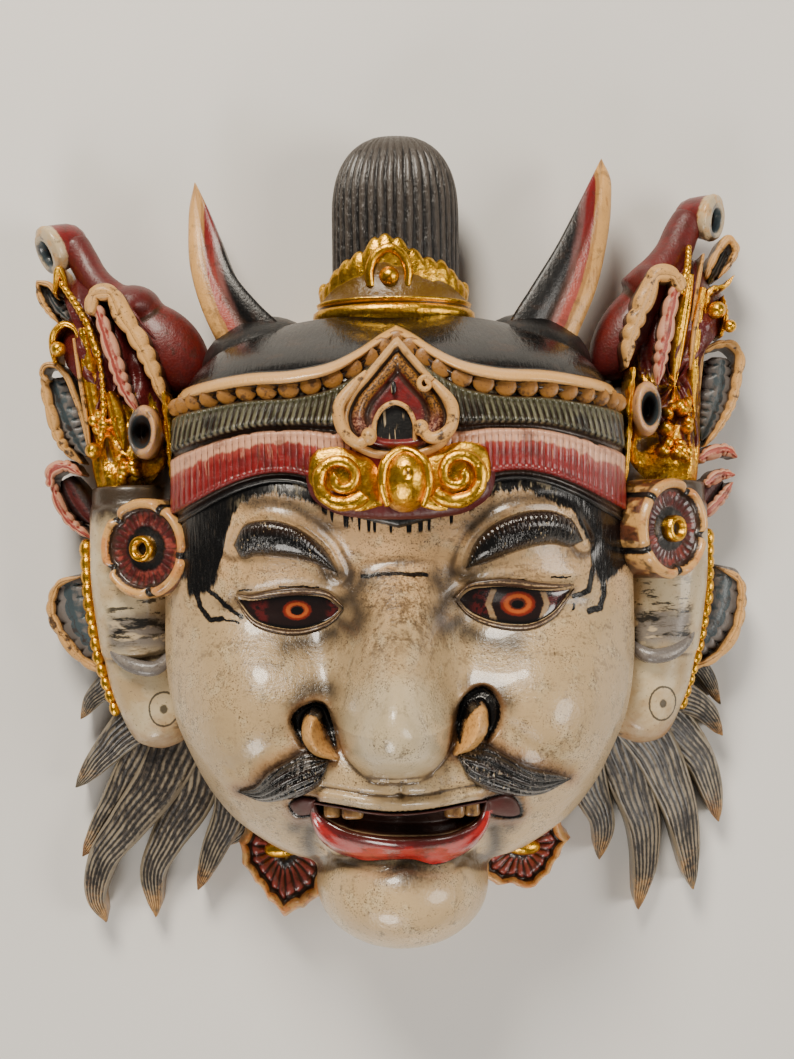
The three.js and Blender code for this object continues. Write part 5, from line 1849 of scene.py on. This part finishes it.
# The carving in front of the wings, as (path, height above the back, width, teeth), for each finish
LEAFWORK = {
    "cream paint": [
        ([(103, 86), (99.5, 91.5), (94, 92), (89.9, 84.2), (86.3, 76.3), (83.8, 69.4),
          (82.2, 58)], 44, 7.6, 6),
        ([(-110, 80), (-108, 87), (-103, 87.6), (-98.3, 79.5), (-91.9, 69.1), (-87.1, 58.3),
          (-83, 46)], 44, 7.4, 7),
        ([(112.3, 100.4), (110.7, 92.4), (109.1, 83.4), (107.5, 75.4)], 36, 1.5, 0),
        ([(110.2, 82), (108.1, 71.1), (106.5, 58)], 38, 1.6, 0),
        ([(-117.4, 72), (-115.4, 57.8), (-113.4, 44.6), (-111.4, 28)], 37, 1.6, 0),
        ([(112.5, 66), (110.9, 55.8), (109.8, 45.7), (109.2, 35.6), (110.6, 30)], 31, 2.8, 0),
        ([(113.6, 66), (119, 68.4), (124.2, 68.3), (127, 64.2), (126.1, 56.1), (124, 46.9), (119.8, 38.8),
          (113.6, 30.6)],
         28, 4.0, 10),
        ([(-128.6, 57.4), (-130.8, 59.7), (-129.7, 63), (-125.8, 63.2), (-122.5, 60.2), (-118.7, 51.9),
          (-115.5, 41.9), (-113.7, 31.9)], 31, 2.4, 0),
        ([(-130.6, 60), (-129.8, 52.2), (-128.1, 45.5), (-126.3, 38.8), (-123.5, 33.2),
          (-117, 27)], 28, 4.8, 6),
        ([(-132.6, 94.4), (-132, 89.4), (-129.4, 84.4), (-125, 79)], 28, 2.6, 4),
        ([(-132.6, 94.2), (-128.2, 93.2), (-125, 88)], 29, 2.2, 0),
        ([(114.6, 93), (119.5, 102.8), (123.6, 107.4), (126, 104), (123.5, 98), (119.6, 93)], 28, 3.4, 6),
        ([(108, -52), (118, -48), (125, -40), (128, -30), (127.4, -19), (119, -14)], 22, 4.2, 7),
        ([(-107.5, -52), (-118, -47), (-126, -38), (-130.6, -27), (-127.4, -17.6), (-119, -15)], 22, 4.2, 7),
    ],
    "rose paint": [
        ([(101, 88), (99, 80.9), (97.4, 72.9), (95.8, 65), (93.6, 52)], 42, 6.4, 6),
        ([(-107.6, 83), (-104.6, 72.9), (-101.5, 63.1), (-98.3, 53.3), (-93, 44)], 42, 6.2, 7),
        ([(111.2, 25.6), (115.8, 28.2), (122, 29.2), (125.4, 26.4)], 28, 5.6, 4),
        ([(114, 16.5), (121.1, 20.5), (125, 20)], 26, 5.0, 4),
        ([(112, 4), (117, 8), (120.2, 11.4), (124.4, 17.5)], 25, 4.6, 5),
        ([(-128.9, 18.4), (-128.3, 24.4), (-123.6, 26.3), (-117, 22.7)], 28, 5.0, 4),
        ([(-128.1, 19.8), (-126.5, 13.1), (-122.7, 6.4), (-114, -1)], 26, 4.4, 5),
    ],
    "dark ground": [
        ([(120, 19), (114, 12), (110, 2)], 22, 9, 0),
        ([(-124.1, 21.6), (-119.8, 13.3), (-114, 4.6)], 22, 9, 0),
        ([(105, 92), (103.5, 76), (99, 60)], 33, 6, 0), ([(-112, 80), (-108, 64), (-103, 46)], 33, 7, 0),
    ],
    "blue leaf": [
        ([(120.7, 64), (119, 51.3), (113, 33)], 23, 13, 8),
        ([(-127.4, 59), (-123.1, 45.7), (-116, 30)], 23, 12, 8),
        ([(123, -14), (119, -32), (105, -50)], 19, 17, 8),
        ([(-124, -15), (-119.6, -33), (-105, -50)], 19, 18, 8),
        ([(-129.6, 92), (-126.4, 86), (-121, 80)], 24, 5, 3),
        ([(122.6, 104), (119, 97), (115, 90)], 24, 5, 3),
    ],
    "gold leaf": [
        ([(107, 93), (104.4, 79.2), (102.4, 67.2), (100.6, 52)], 36, 6.0, 0),
        ([(111.8, 88), (109.6, 75.4), (108.2, 63.3), (107.6, 44)], 36, 4.2, 0),
        ([(-114, 76), (-112.6, 62.4), (-110.4, 47), (-108, 30)], 35, 6.6, 0),
        ([(-124.9, 63.7), (-125.9, 68.7), (-125.1, 74.7), (-121, 77.8), (-117.4, 75.9),
          (-116.4, 69)], 34, 3.0, 0),
        ([(-104.3, 52.1), (-101.6, 42.4), (-99, 31.5)], 38, 6.5, 0),
        ([(-125.4, 89.4), (-124, 98.4), (-120.2, 89.4)], 31, 3.0, 0),
        ([(113.5, 69.6), (113.1, 81.7), (115.7, 87.7), (120.2, 88.8), (123.8, 92.8)], 34, 3.0, 8),
        ([(119, 70.6), (120.8, 78.7), (119.8, 85.7)], 33, 2.4, 6),
        ([(84.4, 58.2), (83.2, 48.3), (82.4, 36.5), (80.9, 16)], 46, 3.8, 7),
        ([(-83.2, 51.4), (-82, 40.7), (-80.8, 28.9), (-79.9, 12.8)], 46, 4.0, 7),
    ],
}


def leafwork_form(bands):
    """Raised bands and small leaves, some with rounded teeth along their outer edge."""
    form = Form()
    for path, height, wide, teeth in bands:
        points = [(x, y, height - 3.5) for x, y in path]
        side = 1 if path[0][0] > 0 else -1
        high = min(2.6, 0.8 + wide * 0.4)

        def width(t, wide=wide, teeth=teeth):
            tooth = np.abs(np.sin(t * math.pi * teeth + 1.2 * np.sin(t * 9))) ** 0.7 if teeth else 1
            return leaf(wide, wide * 0.6, 0.4)(t) * (0.68 + 0.32 * tooth)

        def lift(u, t, teeth=teeth, high=high, side=side):
            notch = np.abs(np.sin(t * math.pi * max(teeth, 1) + 1.2 * np.sin(t * 9))) ** 0.7
            cut = 0.6 * (1 - notch) * smooth(0, 0.9, u * side) * (teeth > 0)
            return high * rounded(u) * (1 - cut) - 0.5 * bump(u * side, -0.3, 0.2)

        form.add(*ribbon(points, width, lift, min(height - 3.6, 12), 100, 14))
    return form


def ornament_knob_form():
    """Beads and discs among the gilt scrolls."""
    form = Form()
    for x, y, z, size in ((-123, 68.2, 34, 2.8), (116.6, 79.7, 34, 3.2), (121.5, 74, 33, 2.4),
                          (-110, 31, 37, 3.0)):
        form.add(*ellipsoid((x, y, z), (size, size, size * 1.2), 20, 14))
    return form


# The carved ground behind each side's ornaments
GROUNDS = [
    [(108, 103), (113, 101), (117, 92), (122, 88), (121, 76), (115, 67), (113, 44), (112, 24), (108, 8),
     (92, 6), (84, 14), (83, 50), (87, 74), (93, 88), (99, 97)],
    [(-119, 98), (-124, 92), (-122, 84), (-125, 76), (-124, 66), (-118, 56), (-115, 40), (-113, 20),
     (-108, 8), (-92, 6), (-84, 14), (-82, 46), (-92, 68), (-100, 82), (-110, 92)],
]


def ground_form():
    """The carved ground behind the ornaments, in uneven folds."""

    def lift(s, turn):
        fold = np.sin(turn * TURN * 5 + s * 9) + np.sin(turn * TURN * 9 - s * 16)
        return (18.5 + 0.9 * fold) * rounded(s, 5)

    form = Form()
    for outline in GROUNDS:
        loop = line(outline + outline[:1], 181)[:-1]
        form.add(*plate(np.c_[loop, np.full(180, 15.0)], lift, 12, 40))
    return form


# The small trumpet in front of each ear, open outward: its middle and its half sizes
CUPS = [((89, 43.3), (5.4, 9.8)), ((-90.3, 37.0), (6.2, 9.6))]


def cup_form():
    form = Form()
    section = profile([(0, -3), (0.3, -2), (0.5, 2), (0.66, 5.6), (0.8, 6.4), (0.92, 5), (1, 2)])
    for (x, y), (wide, tall) in CUPS:
        outline = circle((x, y), wide, tall, 43, 56)
        outline[:, 2] -= np.abs(outline[:, 0]) * 0.6 - abs(x) * 0.6
        form.add(*plate(outline, lambda s, turn: section(s), 9, 24, middle=(x * 1.012, y - 0.6, 42)))
    return form


def nugget_tree():
    """Small uneven lumps strewn over a patch."""
    tree, given = geometry_tree("strewn lumps", [
        ("Density", "Float", 30000.0), ("Seed", "Int", 3), ("Smallest", "Float", 0.002),
        ("Largest", "Float", 0.004), ("Material", "Material", None),
    ])
    spots = tree.node("GeometryNodeDistributePointsOnFaces", {"distribute_method": "POISSON"}, {
        "Mesh": given["Geometry"], "Distance Min": given["Smallest"] * 1.1, "Density Max": given["Density"],
        "Seed": given["Seed"],
    })
    chance = {"data_type": "FLOAT_VECTOR"}
    size = tree.node("FunctionNodeRandomValue", chance, {
        "Min": tree.node("ShaderNodeCombineXYZ", {},
                         {"X": given["Smallest"], "Y": given["Smallest"], "Z": 0.003}),
        "Max": tree.node("ShaderNodeCombineXYZ", {},
                         {"X": given["Largest"], "Y": given["Largest"], "Z": 0.0065}),
        "Seed": given["Seed"],
    })
    turn = tree.node("FunctionNodeRandomValue", chance, {
        "Min": (0.0, 0.0, 0.0), "Max": (0.0, 0.0, TURN), "Seed": given["Seed"] + 1,
    })
    ball = tree.node("GeometryNodeMeshIcoSphere", {}, {"Radius": 1.0, "Subdivisions": 3})
    lumps = tree.node("GeometryNodeInstanceOnPoints", {}, {
        "Points": spots, "Instance": ball, "Rotation": turn, "Scale": size,
    })
    end_tree(tree, lumps, given["Material"])
    return tree.tree


ROSETTES = [
    {"middle": (95.5, 0.5, 53.0), "tilt": 0.66}, {"middle": (-89.0, -4.5, 53.0), "tilt": -0.4},
]
ROSETTE_RADIUS = 17.6


def set_on_side(points, rosette):
    """Places a flat shape, drawn round the origin, where one of the rosettes sits."""
    c, s = math.cos(rosette["tilt"]), math.sin(rosette["tilt"])
    turned = points @ np.array([[c, 0, -s], [0, 1, 0], [s, 0, c]])
    return turned + rosette["middle"]


def rosette_form():
    """The flower-shaped ear studs: a slit rim round a dished flower, on a thick side wall."""
    form = Form()
    count, rings, petals, wall_share = 160, 44, 15, 1.2
    angle = around(count)
    slit = np.abs(np.cos(angle * 2.5 + 0.4)) ** 26
    reach = ROSETTE_RADIUS * (1 - 0.07 * slit)
    outline = np.stack([reach * np.cos(angle), reach * np.sin(angle), np.zeros(count)], 1)
    ray = np.abs(np.sin(angle * petals))
    section = profile([
        (0, 1), (0.4, -0.8), (0.74, -0.8), (0.78, -0.4), (0.82, 2.0), (0.88, 2.8), (0.95, 2.4), (1, 0.8),
    ])

    def lift(s, turn):
        petal = 0.25 * np.abs(np.sin(turn * TURN * petals)) * (s > 0.44) * (s < 0.76)
        cut = np.abs(np.cos(turn * TURN * 2.5 + 0.4)) ** 26
        return section(s) + petal - 1.8 * cut * smooth(0.76, 0.86, s)

    for rosette in ROSETTES:
        points, faces, values = plate(outline, lift, 16, rings, middle=(0, 0, 0))
        values["ray"] = np.append(np.tile(ray, rings + 2), [0.5, 0.5])
        values["notch"] = np.append(np.tile(slit, rings + 2), [0, 0])
        values["share"][rings * count:(rings + 2) * count] = wall_share
        form.add(set_on_side(points, rosette), faces, values)
    return form


def stud_form():
    """The gilt rings in the middle of the rosettes."""
    form = Form()
    count = 48
    angle = around(count)
    # As shares of the rosette's radius and heights
    levels = [(0.27, -3), (0.27, 1.6), (0.25, 3.2), (0.2, 3.8), (0.15, 3.2), (0.12, 0), (0.02, -0.6)]
    for rosette in ROSETTES:
        rings = np.array([
            np.stack([np.cos(angle) * s, np.sin(angle) * s, np.full(count, z / ROSETTE_RADIUS)], 1)
            for s, z in levels
        ])
        points, faces, _ = loft(rings * ROSETTE_RADIUS)
        form.add(set_on_side(points, rosette), faces)
    return form


def lobe_form():
    """The long ear lobes, with a raised sleeve round the upper part."""
    form = Form()
    path = [(99, 18, 27), (98, -18, 28), (95.5, -42, 25), (91, -62, 23), (84, -78, 21)]
    width = profile([(0, 28), (0.5, 29), (0.8, 27), (0.95, 19), (1, 8)])

    def lift(u, t):
        return 13 * rounded(u) * np.clip((1 - t) * 12, 0, 1) ** 0.5

    form.add(*ribbon(path, width, lift, 16, 90, 30, front=(0.4, 0, 1)))
    sleeve = [(99, 10, 29.5), (98.4, -18, 30.5), (96.6, -34, 29), (95.6, -42, 28)]
    form.add(*ribbon(sleeve, level(29), lambda u, t: 13 * rounded(u), 16, 60, 30, front=(0.4, 0, 1)))
    return form.add(*ellipsoid((83, -8, 12), (16, 68, 22), 40, 30))


def fold_form():
    """The pale fold at the end of each sleeve, higher on the right."""
    right = [(83, -41, 37), (90.4, -45.1, 41.5), (97.2, -44.1, 41), (103, -40.2, 38), (107, -33, 33)]
    left = [(-82.4, -43, 37), (-88, -47.6, 41.5), (-95.8, -46.6, 41), (-102.6, -42.6, 37), (-106, -37, 33)]
    form = Form()
    for path in (right, left):
        form.add(*ribbon(path, leaf(5.4, 3.6, 0.35), rolled(2.2), 4, 60, 12, front=(0.2, 0, 1)))
    return form


# The beard's locks, from root to tip, each with its width
LOCKS = [
    ([(88, -38), (106, -47), (115, -54), (121.4, -66)], 9),
    ([(88, -50), (104, -61.5), (114.5, -68), (121.4, -77.5)], 12),
    ([(86, -54), (96, -68), (105.8, -77.5), (113.6, -88), (118.6, -102), (120.4, -110.6)], 14),
    ([(80, -60), (91, -75), (100, -92), (106, -108), (110, -136)], 15),
    ([(74, -66), (80, -78), (86, -94), (91.4, -110), (92.6, -124), (89.6, -144)], 14),
    ([(64, -72), (68, -88), (72, -100), (76, -110.6), (74.6, -124)], 13),
    ([(-92, -48), (-109.4, -55.5), (-116.5, -61.5), (-121.2, -68.6)], 10),
    ([(-88, -58), (-103, -73), (-112, -82), (-123, -94.6)], 13),
    ([(-84, -62), (-96, -82), (-108.6, -102), (-121.4, -121.4)], 15),
    ([(-78, -66), (-91.6, -93), (-103, -108), (-113.6, -123), (-116, -138), (-112.6, -145.6)], 15),
    ([(-72, -68), (-76, -84), (-80, -100), (-89.6, -116), (-95, -128), (-94, -144.8)], 15),
    ([(-62, -74), (-62, -90), (-64, -104), (-70, -116), (-77.4, -134)], 13),
    ([(-54, -90), (-57, -104), (-62, -113), (-68, -118)], 9),
]


def beard_form():
    """Flat wavy locks that fan out from behind the jaw, each ending in a hooked tip."""
    form = Form()
    for i, (path, wide) in enumerate(LOCKS):
        rise = 14 + (i % 2) * 2.5
        heights = np.interp(np.linspace(0, 1, len(path)), [0, 0.4, 1], [rise + 2, rise, rise - 6])

        def lift(u, t, i=i):
            dome = mix(5.5, 3, t) * np.clip(1 - u * u, 0, 1) ** 0.4
            wave = u * 3.6 + 0.3 * np.sin(t * 6 + i * 2) + 0.12 * np.sin(t * 23)
            strand = np.abs(np.sin(wave * math.pi)) ** 0.7
            return dome - 0.6 * (1 - strand) * smooth(0, 2, dome)

        width = profile([(0, wide + 8), (0.35, wide + 3), (0.65, wide * 0.85), (0.88, wide * 0.5),
                         (0.97, wide * 0.24), (1, 1)])
        points = [(*place, height) for place, height in zip(path, heights)]
        form.add(*ribbon(points, width, lift, 9, 120, 56))
    for side in (1, -1):
        form.add(*ellipsoid((side * 80, -72, 9), (24, 18, 9), 30, 20, side * -0.7))
    return form


PENDANTS = [
    {
        "outline": [(62.6, -113.9), (59.2, -119.8), (54.2, -127.8), (50, -131.6), (46.3, -133.6),
                    (41.3, -131.4), (36.4, -131.6), (30, -129), (27, -118), (30, -106), (44, -101),
                    (57, -105)],
        "middle": (44, -117), "turn": -0.1,
    },
    {
        "outline": [(-60.8, -113.9), (-59.8, -121.8), (-53.8, -130.8), (-48.5, -138), (-43.4, -142.4),
                    (-37.9, -139.7), (-31, -135.6), (-28, -130), (-27, -118), (-30, -106), (-44, -101),
                    (-57, -105)],
        "middle": (-44, -117), "turn": 0.1,
    },
]


def pendant_form():
    """A scalloped leaf behind each side of the jaw."""
    form = Form()
    count, rings, rays = 160, 34, 10
    section = profile([(0, 3), (0.25, 5), (0.3, 4.4), (0.7, 5.4), (0.75, 4.6), (0.8, 7), (0.94, 7), (1, 3.6)])
    for pendant in PENDANTS:
        outline = pendant["outline"]
        loop = line(outline + outline[:1], count + 1)[:-1]
        share = np.arange(count) / count
        middle = np.array(pendant["middle"])
        loop = middle + (loop - middle) * (1 - 0.05 * np.abs(np.sin(share * TURN * 7)))[:, None]
        ray = np.abs(np.sin(share * TURN * rays))

        def lift(s, turn):
            return section(s) + 0.7 * np.abs(np.sin(turn * TURN * rays)) * (s > 0.3) * (s < 0.74)

        points, faces, values = plate(np.c_[loop, np.full(count, 19.0)], lift, 10, rings,
                                      middle=(*middle, 19))
        values["ray"] = np.append(np.tile(ray, rings + 2), [0.5, 0.5])
        form.add(points, faces, values)
    return form


def pendant_cap_form():
    """The gilt cap of each pendant."""
    form = Form()
    for pendant in PENDANTS:
        x, y = pendant["middle"]
        form.add(*ellipsoid((x, y + 1.4, 27), (7, 3.6, 4.6), 30, 18, pendant["turn"]))
    return form


# Operators


class CARVING_OT_head(bpy.types.Operator):
    """Carve the face, skull and hollow back"""

    bl_idname = "carving.head"
    bl_label = "Head"

    def execute(self, context):
        obj = piece("head", head_form(), finish("face paint"), finish("bare wood"), rounds=10)
        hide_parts("mask")
        return {"FINISHED"}


class CARVING_OT_eyes(bpy.types.Operator):
    """Set the eyes and the raised edges round them"""

    bl_idname = "carving.eyes"
    bl_label = "Eyes"

    def execute(self, context):
        piece("eyes", eye_form(), finish("eye enamel"))
        piece("lids", lid_form(), finish("lid paint"))
        return {"FINISHED"}


class CARVING_OT_brows(bpy.types.Operator):
    """Carve the brows and the moustache"""

    bl_idname = "carving.brows"
    bl_label = "Brows and moustache"

    def execute(self, context):
        piece("brows", brow_form(), finish("hair lacquer"))
        piece("moustache", moustache_form(), finish("hair lacquer"))
        return {"FINISHED"}


class CARVING_OT_mouth(bpy.types.Operator):
    """Carve the lips and teeth"""

    bl_idname = "carving.mouth"
    bl_label = "Mouth"

    def execute(self, context):
        piece("lips", lip_form(), finish("lip lacquer"))
        piece("teeth", tooth_form(), finish("tooth paint"))
        return {"FINISHED"}


class CARVING_OT_headband(bpy.types.Operator):
    """Carve the headband and grow its row of scallops"""

    bl_idname = "carving.headband"
    bl_label = "Headband"

    def execute(self, context):
        piece("headband", band_form(), finish("headband paint"), rounds=5)
        row = grow("scallops", row_tree(), {
            "Count": context.scene.mask_sizes.scallops, "First size": 3.7 * MM, "Last size": 3.7 * MM,
            "Wide": 0.92, "High": 0.2, "Material": finish("ochre paint"),
        }, scallop_path())
        finish_piece(row, 4)
        return {"FINISHED"}


class CARVING_OT_jewel(bpy.types.Operator):
    """Carve the gilt scrolls and the pointed leaf over the forehead"""

    bl_idname = "carving.jewel"
    bl_label = "Jewel"

    def execute(self, context):
        piece("clover", clover_form(), finish("gold leaf"))
        piece("clover_ground", jewel_plate_form(), finish("panel lacquer"))
        piece("pointed_leaf", pointed_leaf_form(), finish("jewel paint"))
        piece("niche", niche_form(), finish("niche paint"))
        piece("curls", curl_form(), finish("cream paint"))
        return {"FINISHED"}


class CARVING_OT_topknot(bpy.types.Operator):
    """Grow the fluted topknot and set the crown round it"""

    bl_idname = "carving.topknot"
    bl_label = "Topknot and crown"

    def execute(self, context):
        sizes = context.scene.mask_sizes
        obj = grow("topknot", topknot_tree(), {
            "Flutes": sizes.topknot_flutes, "Bottom": 64 * MM, "Top": sizes.topknot_height,
            "Half width": sizes.topknot_width, "Half depth": sizes.topknot_depth, "Middle": 24 * MM,
            "Groove": sizes.groove_depth, "Material": finish("topknot stain"),
        })
        finish_piece(obj)
        piece("crown", crown_form().join(crown_front_form()), finish("gold leaf"))
        return {"FINISHED"}


class CARVING_OT_ears(bpy.types.Operator):
    """Carve the pointed ears"""

    bl_idname = "carving.ears"
    bl_label = "Ears"

    def execute(self, context):
        piece("ears", ear_form(), finish("ear paint"))
        return {"FINISHED"}


class CARVING_OT_wings(bpy.types.Operator):
    """Carve the wings at the temples and their rolled ends"""

    bl_idname = "carving.wings"
    bl_label = "Wings"

    def execute(self, context):
        finish_piece(smoothed("wings", wing_form(), 1.2, 10, "wing lacquer"))
        piece("wing_curls", barrel_form(), finish("curl paint"))
        return {"FINISHED"}


# Where the gilt lumps lie, as patches with four corners
LUMP_PATCHES = [
    [(96, 26, 34), (106, 26, 33), (106, 46, 33), (97, 46, 35)],
    [(-101, 19, 35), (-92, 19, 37), (-92, 31, 37), (-101, 31, 35)],
    [(-111, 31, 33), (-106, 31, 34), (-106, 44, 34), (-111, 44, 33)],
]
# Rows of gilt beads: how many, their size at the first end and at the last one, and the line they follow
BEAD_ROWS = {
    "strand_left": (12, 1.3, 1.8, [(-122, 92, 30), (-116.5, 84.7, 34), (-111.7, 77, 36), (-108.6, 67, 36)]),
    "strand_right": (9, 1.2, 1.6, [(107.6, 103, 29), (106.2, 95.8, 34), (103.6, 87, 37)]),
    "inner_strand": (12, 1.0, 1.4, [(-107.6, 66, 37), (-106.4, 56, 37), (-106, 46, 37), (-107, 36, 37)]),
    "lobe_beads": (15, 2.4, 1.9, [(114, -3, 27), (114, -24, 26), (110, -46, 25), (104.6, -64, 24)]),
    "lobe_beads_left": (13, 2.8, 2.0,
                        [(-115, -5, 27), (-114.6, -24, 26), (-111.4, -46, 25), (-106, -64, 24)]),
}


class CARVING_OT_ornaments(bpy.types.Operator):
    """Carve the leafwork in front of each wing, and strew its gilt lumps and beads"""

    bl_idname = "carving.ornaments"
    bl_label = "Side ornaments"

    def execute(self, context):
        gold = finish("gold leaf")
        piece("ornament_ground", ground_form(), finish("part gilt"))
        for name, bands in LEAFWORK.items():
            piece(f"leafwork_in_{name.replace(' ', '_')}", leafwork_form(bands), finish(name))
        piece("knobs", ornament_knob_form(), gold)
        piece("cups", cup_form(), finish("cup paint"))
        lumps = grow("lumps", nugget_tree(), {
            "Smallest": 1.8 * MM, "Largest": 3.2 * MM, "Density": 120000.0, "Seed": 4, "Material": gold,
        }, patches=LUMP_PATCHES)
        finish_piece(lumps)
        for name, (count, first, last, path) in BEAD_ROWS.items():
            row = grow(name, row_tree(), {
                "Count": count, "First size": first * MM, "Last size": last * MM, "Long": 1.5, "High": 1.3,
                "Material": gold,
            }, path)
            finish_piece(row)
        return {"FINISHED"}


class CARVING_OT_rosettes(bpy.types.Operator):
    """Carve the ear lobes and their flower-shaped studs"""

    bl_idname = "carving.rosettes"
    bl_label = "Lobes and rosettes"

    def execute(self, context):
        finish_piece(smoothed("lobes", lobe_form().both_sides(), 1.1, 6, "lobe paint"))
        piece("lobe_folds", fold_form(), finish("silver paint"))
        piece("rosettes", rosette_form(), finish("rosette paint"))
        piece("studs", stud_form(), finish("gold leaf"))
        return {"FINISHED"}


class CARVING_OT_beard(bpy.types.Operator):
    """Carve the beard locks and the leaf pendants"""

    bl_idname = "carving.beard"
    bl_label = "Beard and pendants"

    def execute(self, context):
        piece("beard", beard_form(), finish("lock paint"))
        piece("pendants", pendant_form(), finish("pendant paint"))
        piece("pendant_caps", pendant_cap_form(), finish("gold leaf"))
        return {"FINISHED"}


# Soft round lights: place in metres, width, power and colour
LIGHTS = {
    "key": ((-0.25, 0.8, 0.8), 0.4, 17.0, (1, 0.91, 0.78)),
    "fill": ((0.85, -0.1, 0.7), 0.55, 7.0, (1, 0.94, 0.86)),
    "low": ((-0.3, -0.9, 0.6), 0.45, 7.5, (1, 0.94, 0.86)),
}
LIGHT_AIM = (0, 0, 0.05)
SKY_COLOUR, SKY_POWER = (1, 0.98, 0.95, 1), 0.1
CAMERA_PLACE, CAMERA_TURN, CAMERA_LENS = (-0.0006, 0.00125, 0.54), (0, 0, math.radians(-0.65)), 47.3
FLOOR_REACH = 3.0


class CARVING_OT_stage(bpy.types.Operator):
    """Set the floor, the lights and the camera"""

    bl_idname = "carving.stage"
    bl_label = "Stage"

    def execute(self, context):
        scene = context.scene
        mesh = bpy.data.meshes.new("floor")
        corners = [(x * FLOOR_REACH, y * FLOOR_REACH, 0) for x, y in ((-1, -1), (1, -1), (1, 1), (-1, 1))]
        mesh.from_pydata(corners, [], [(0, 1, 2, 3)])
        mesh.materials.append(finish("floor"))
        new_object("floor", mesh)
        for name, (place, size, power, colour) in LIGHTS.items():
            light = bpy.data.lights.new(name, "AREA")
            light.shape, light.size, light.energy, light.color = "DISK", size, power, colour
            lamp = new_object(name, light)
            lamp.location = place
            lamp.rotation_euler = (Vector(LIGHT_AIM) - Vector(place)).to_track_quat("-Z", "Y").to_euler()
        world = bpy.data.worlds.new("studio")
        world.use_nodes = True
        background = world.node_tree.nodes["Background"]
        background.inputs["Color"].default_value = SKY_COLOUR
        background.inputs["Strength"].default_value = SKY_POWER
        scene.world = world
        lens = bpy.data.cameras.new("camera")
        lens.lens = CAMERA_LENS
        camera = new_object("camera", lens)
        camera.location = CAMERA_PLACE
        camera.rotation_euler = CAMERA_TURN
        scene.camera = camera
        return {"FINISHED"}


OPERATORS = (
    CARVING_OT_head, CARVING_OT_eyes, CARVING_OT_brows, CARVING_OT_mouth, CARVING_OT_headband,
    CARVING_OT_jewel, CARVING_OT_topknot, CARVING_OT_ears, CARVING_OT_wings, CARVING_OT_ornaments,
    CARVING_OT_rosettes, CARVING_OT_beard, CARVING_OT_stage,
)


class CARVING_PT_panel(bpy.types.Panel):
    """Lists the mask's operators, sizes and colours"""

    bl_label = "Carved mask"
    bl_idname = "CARVING_PT_panel"
    bl_space_type = "VIEW_3D"
    bl_region_type = "UI"
    bl_category = "Mask"

    def draw(self, context):
        for operator in OPERATORS:
            self.layout.operator(operator.bl_idname)
        for group in (context.scene.mask_sizes, context.scene.mask_colours):
            for key in group.__annotations__:
                self.layout.prop(group, key)


def register():
    for item in (MaskSizes, MaskColours, *OPERATORS, CARVING_PT_panel):
        bpy.utils.register_class(item)
    bpy.types.Scene.mask_sizes = PointerProperty(type=MaskSizes)
    bpy.types.Scene.mask_colours = PointerProperty(type=MaskColours)


def unregister():
    del bpy.types.Scene.mask_colours
    del bpy.types.Scene.mask_sizes
    for item in reversed((MaskSizes, MaskColours, *OPERATORS, CARVING_PT_panel)):
        bpy.utils.unregister_class(item)


def main():
    register()
    for operator in OPERATORS:
        group, name = operator.bl_idname.split(".")
        getattr(getattr(bpy.ops, group), name)()


if __name__ == "__main__":
    main()
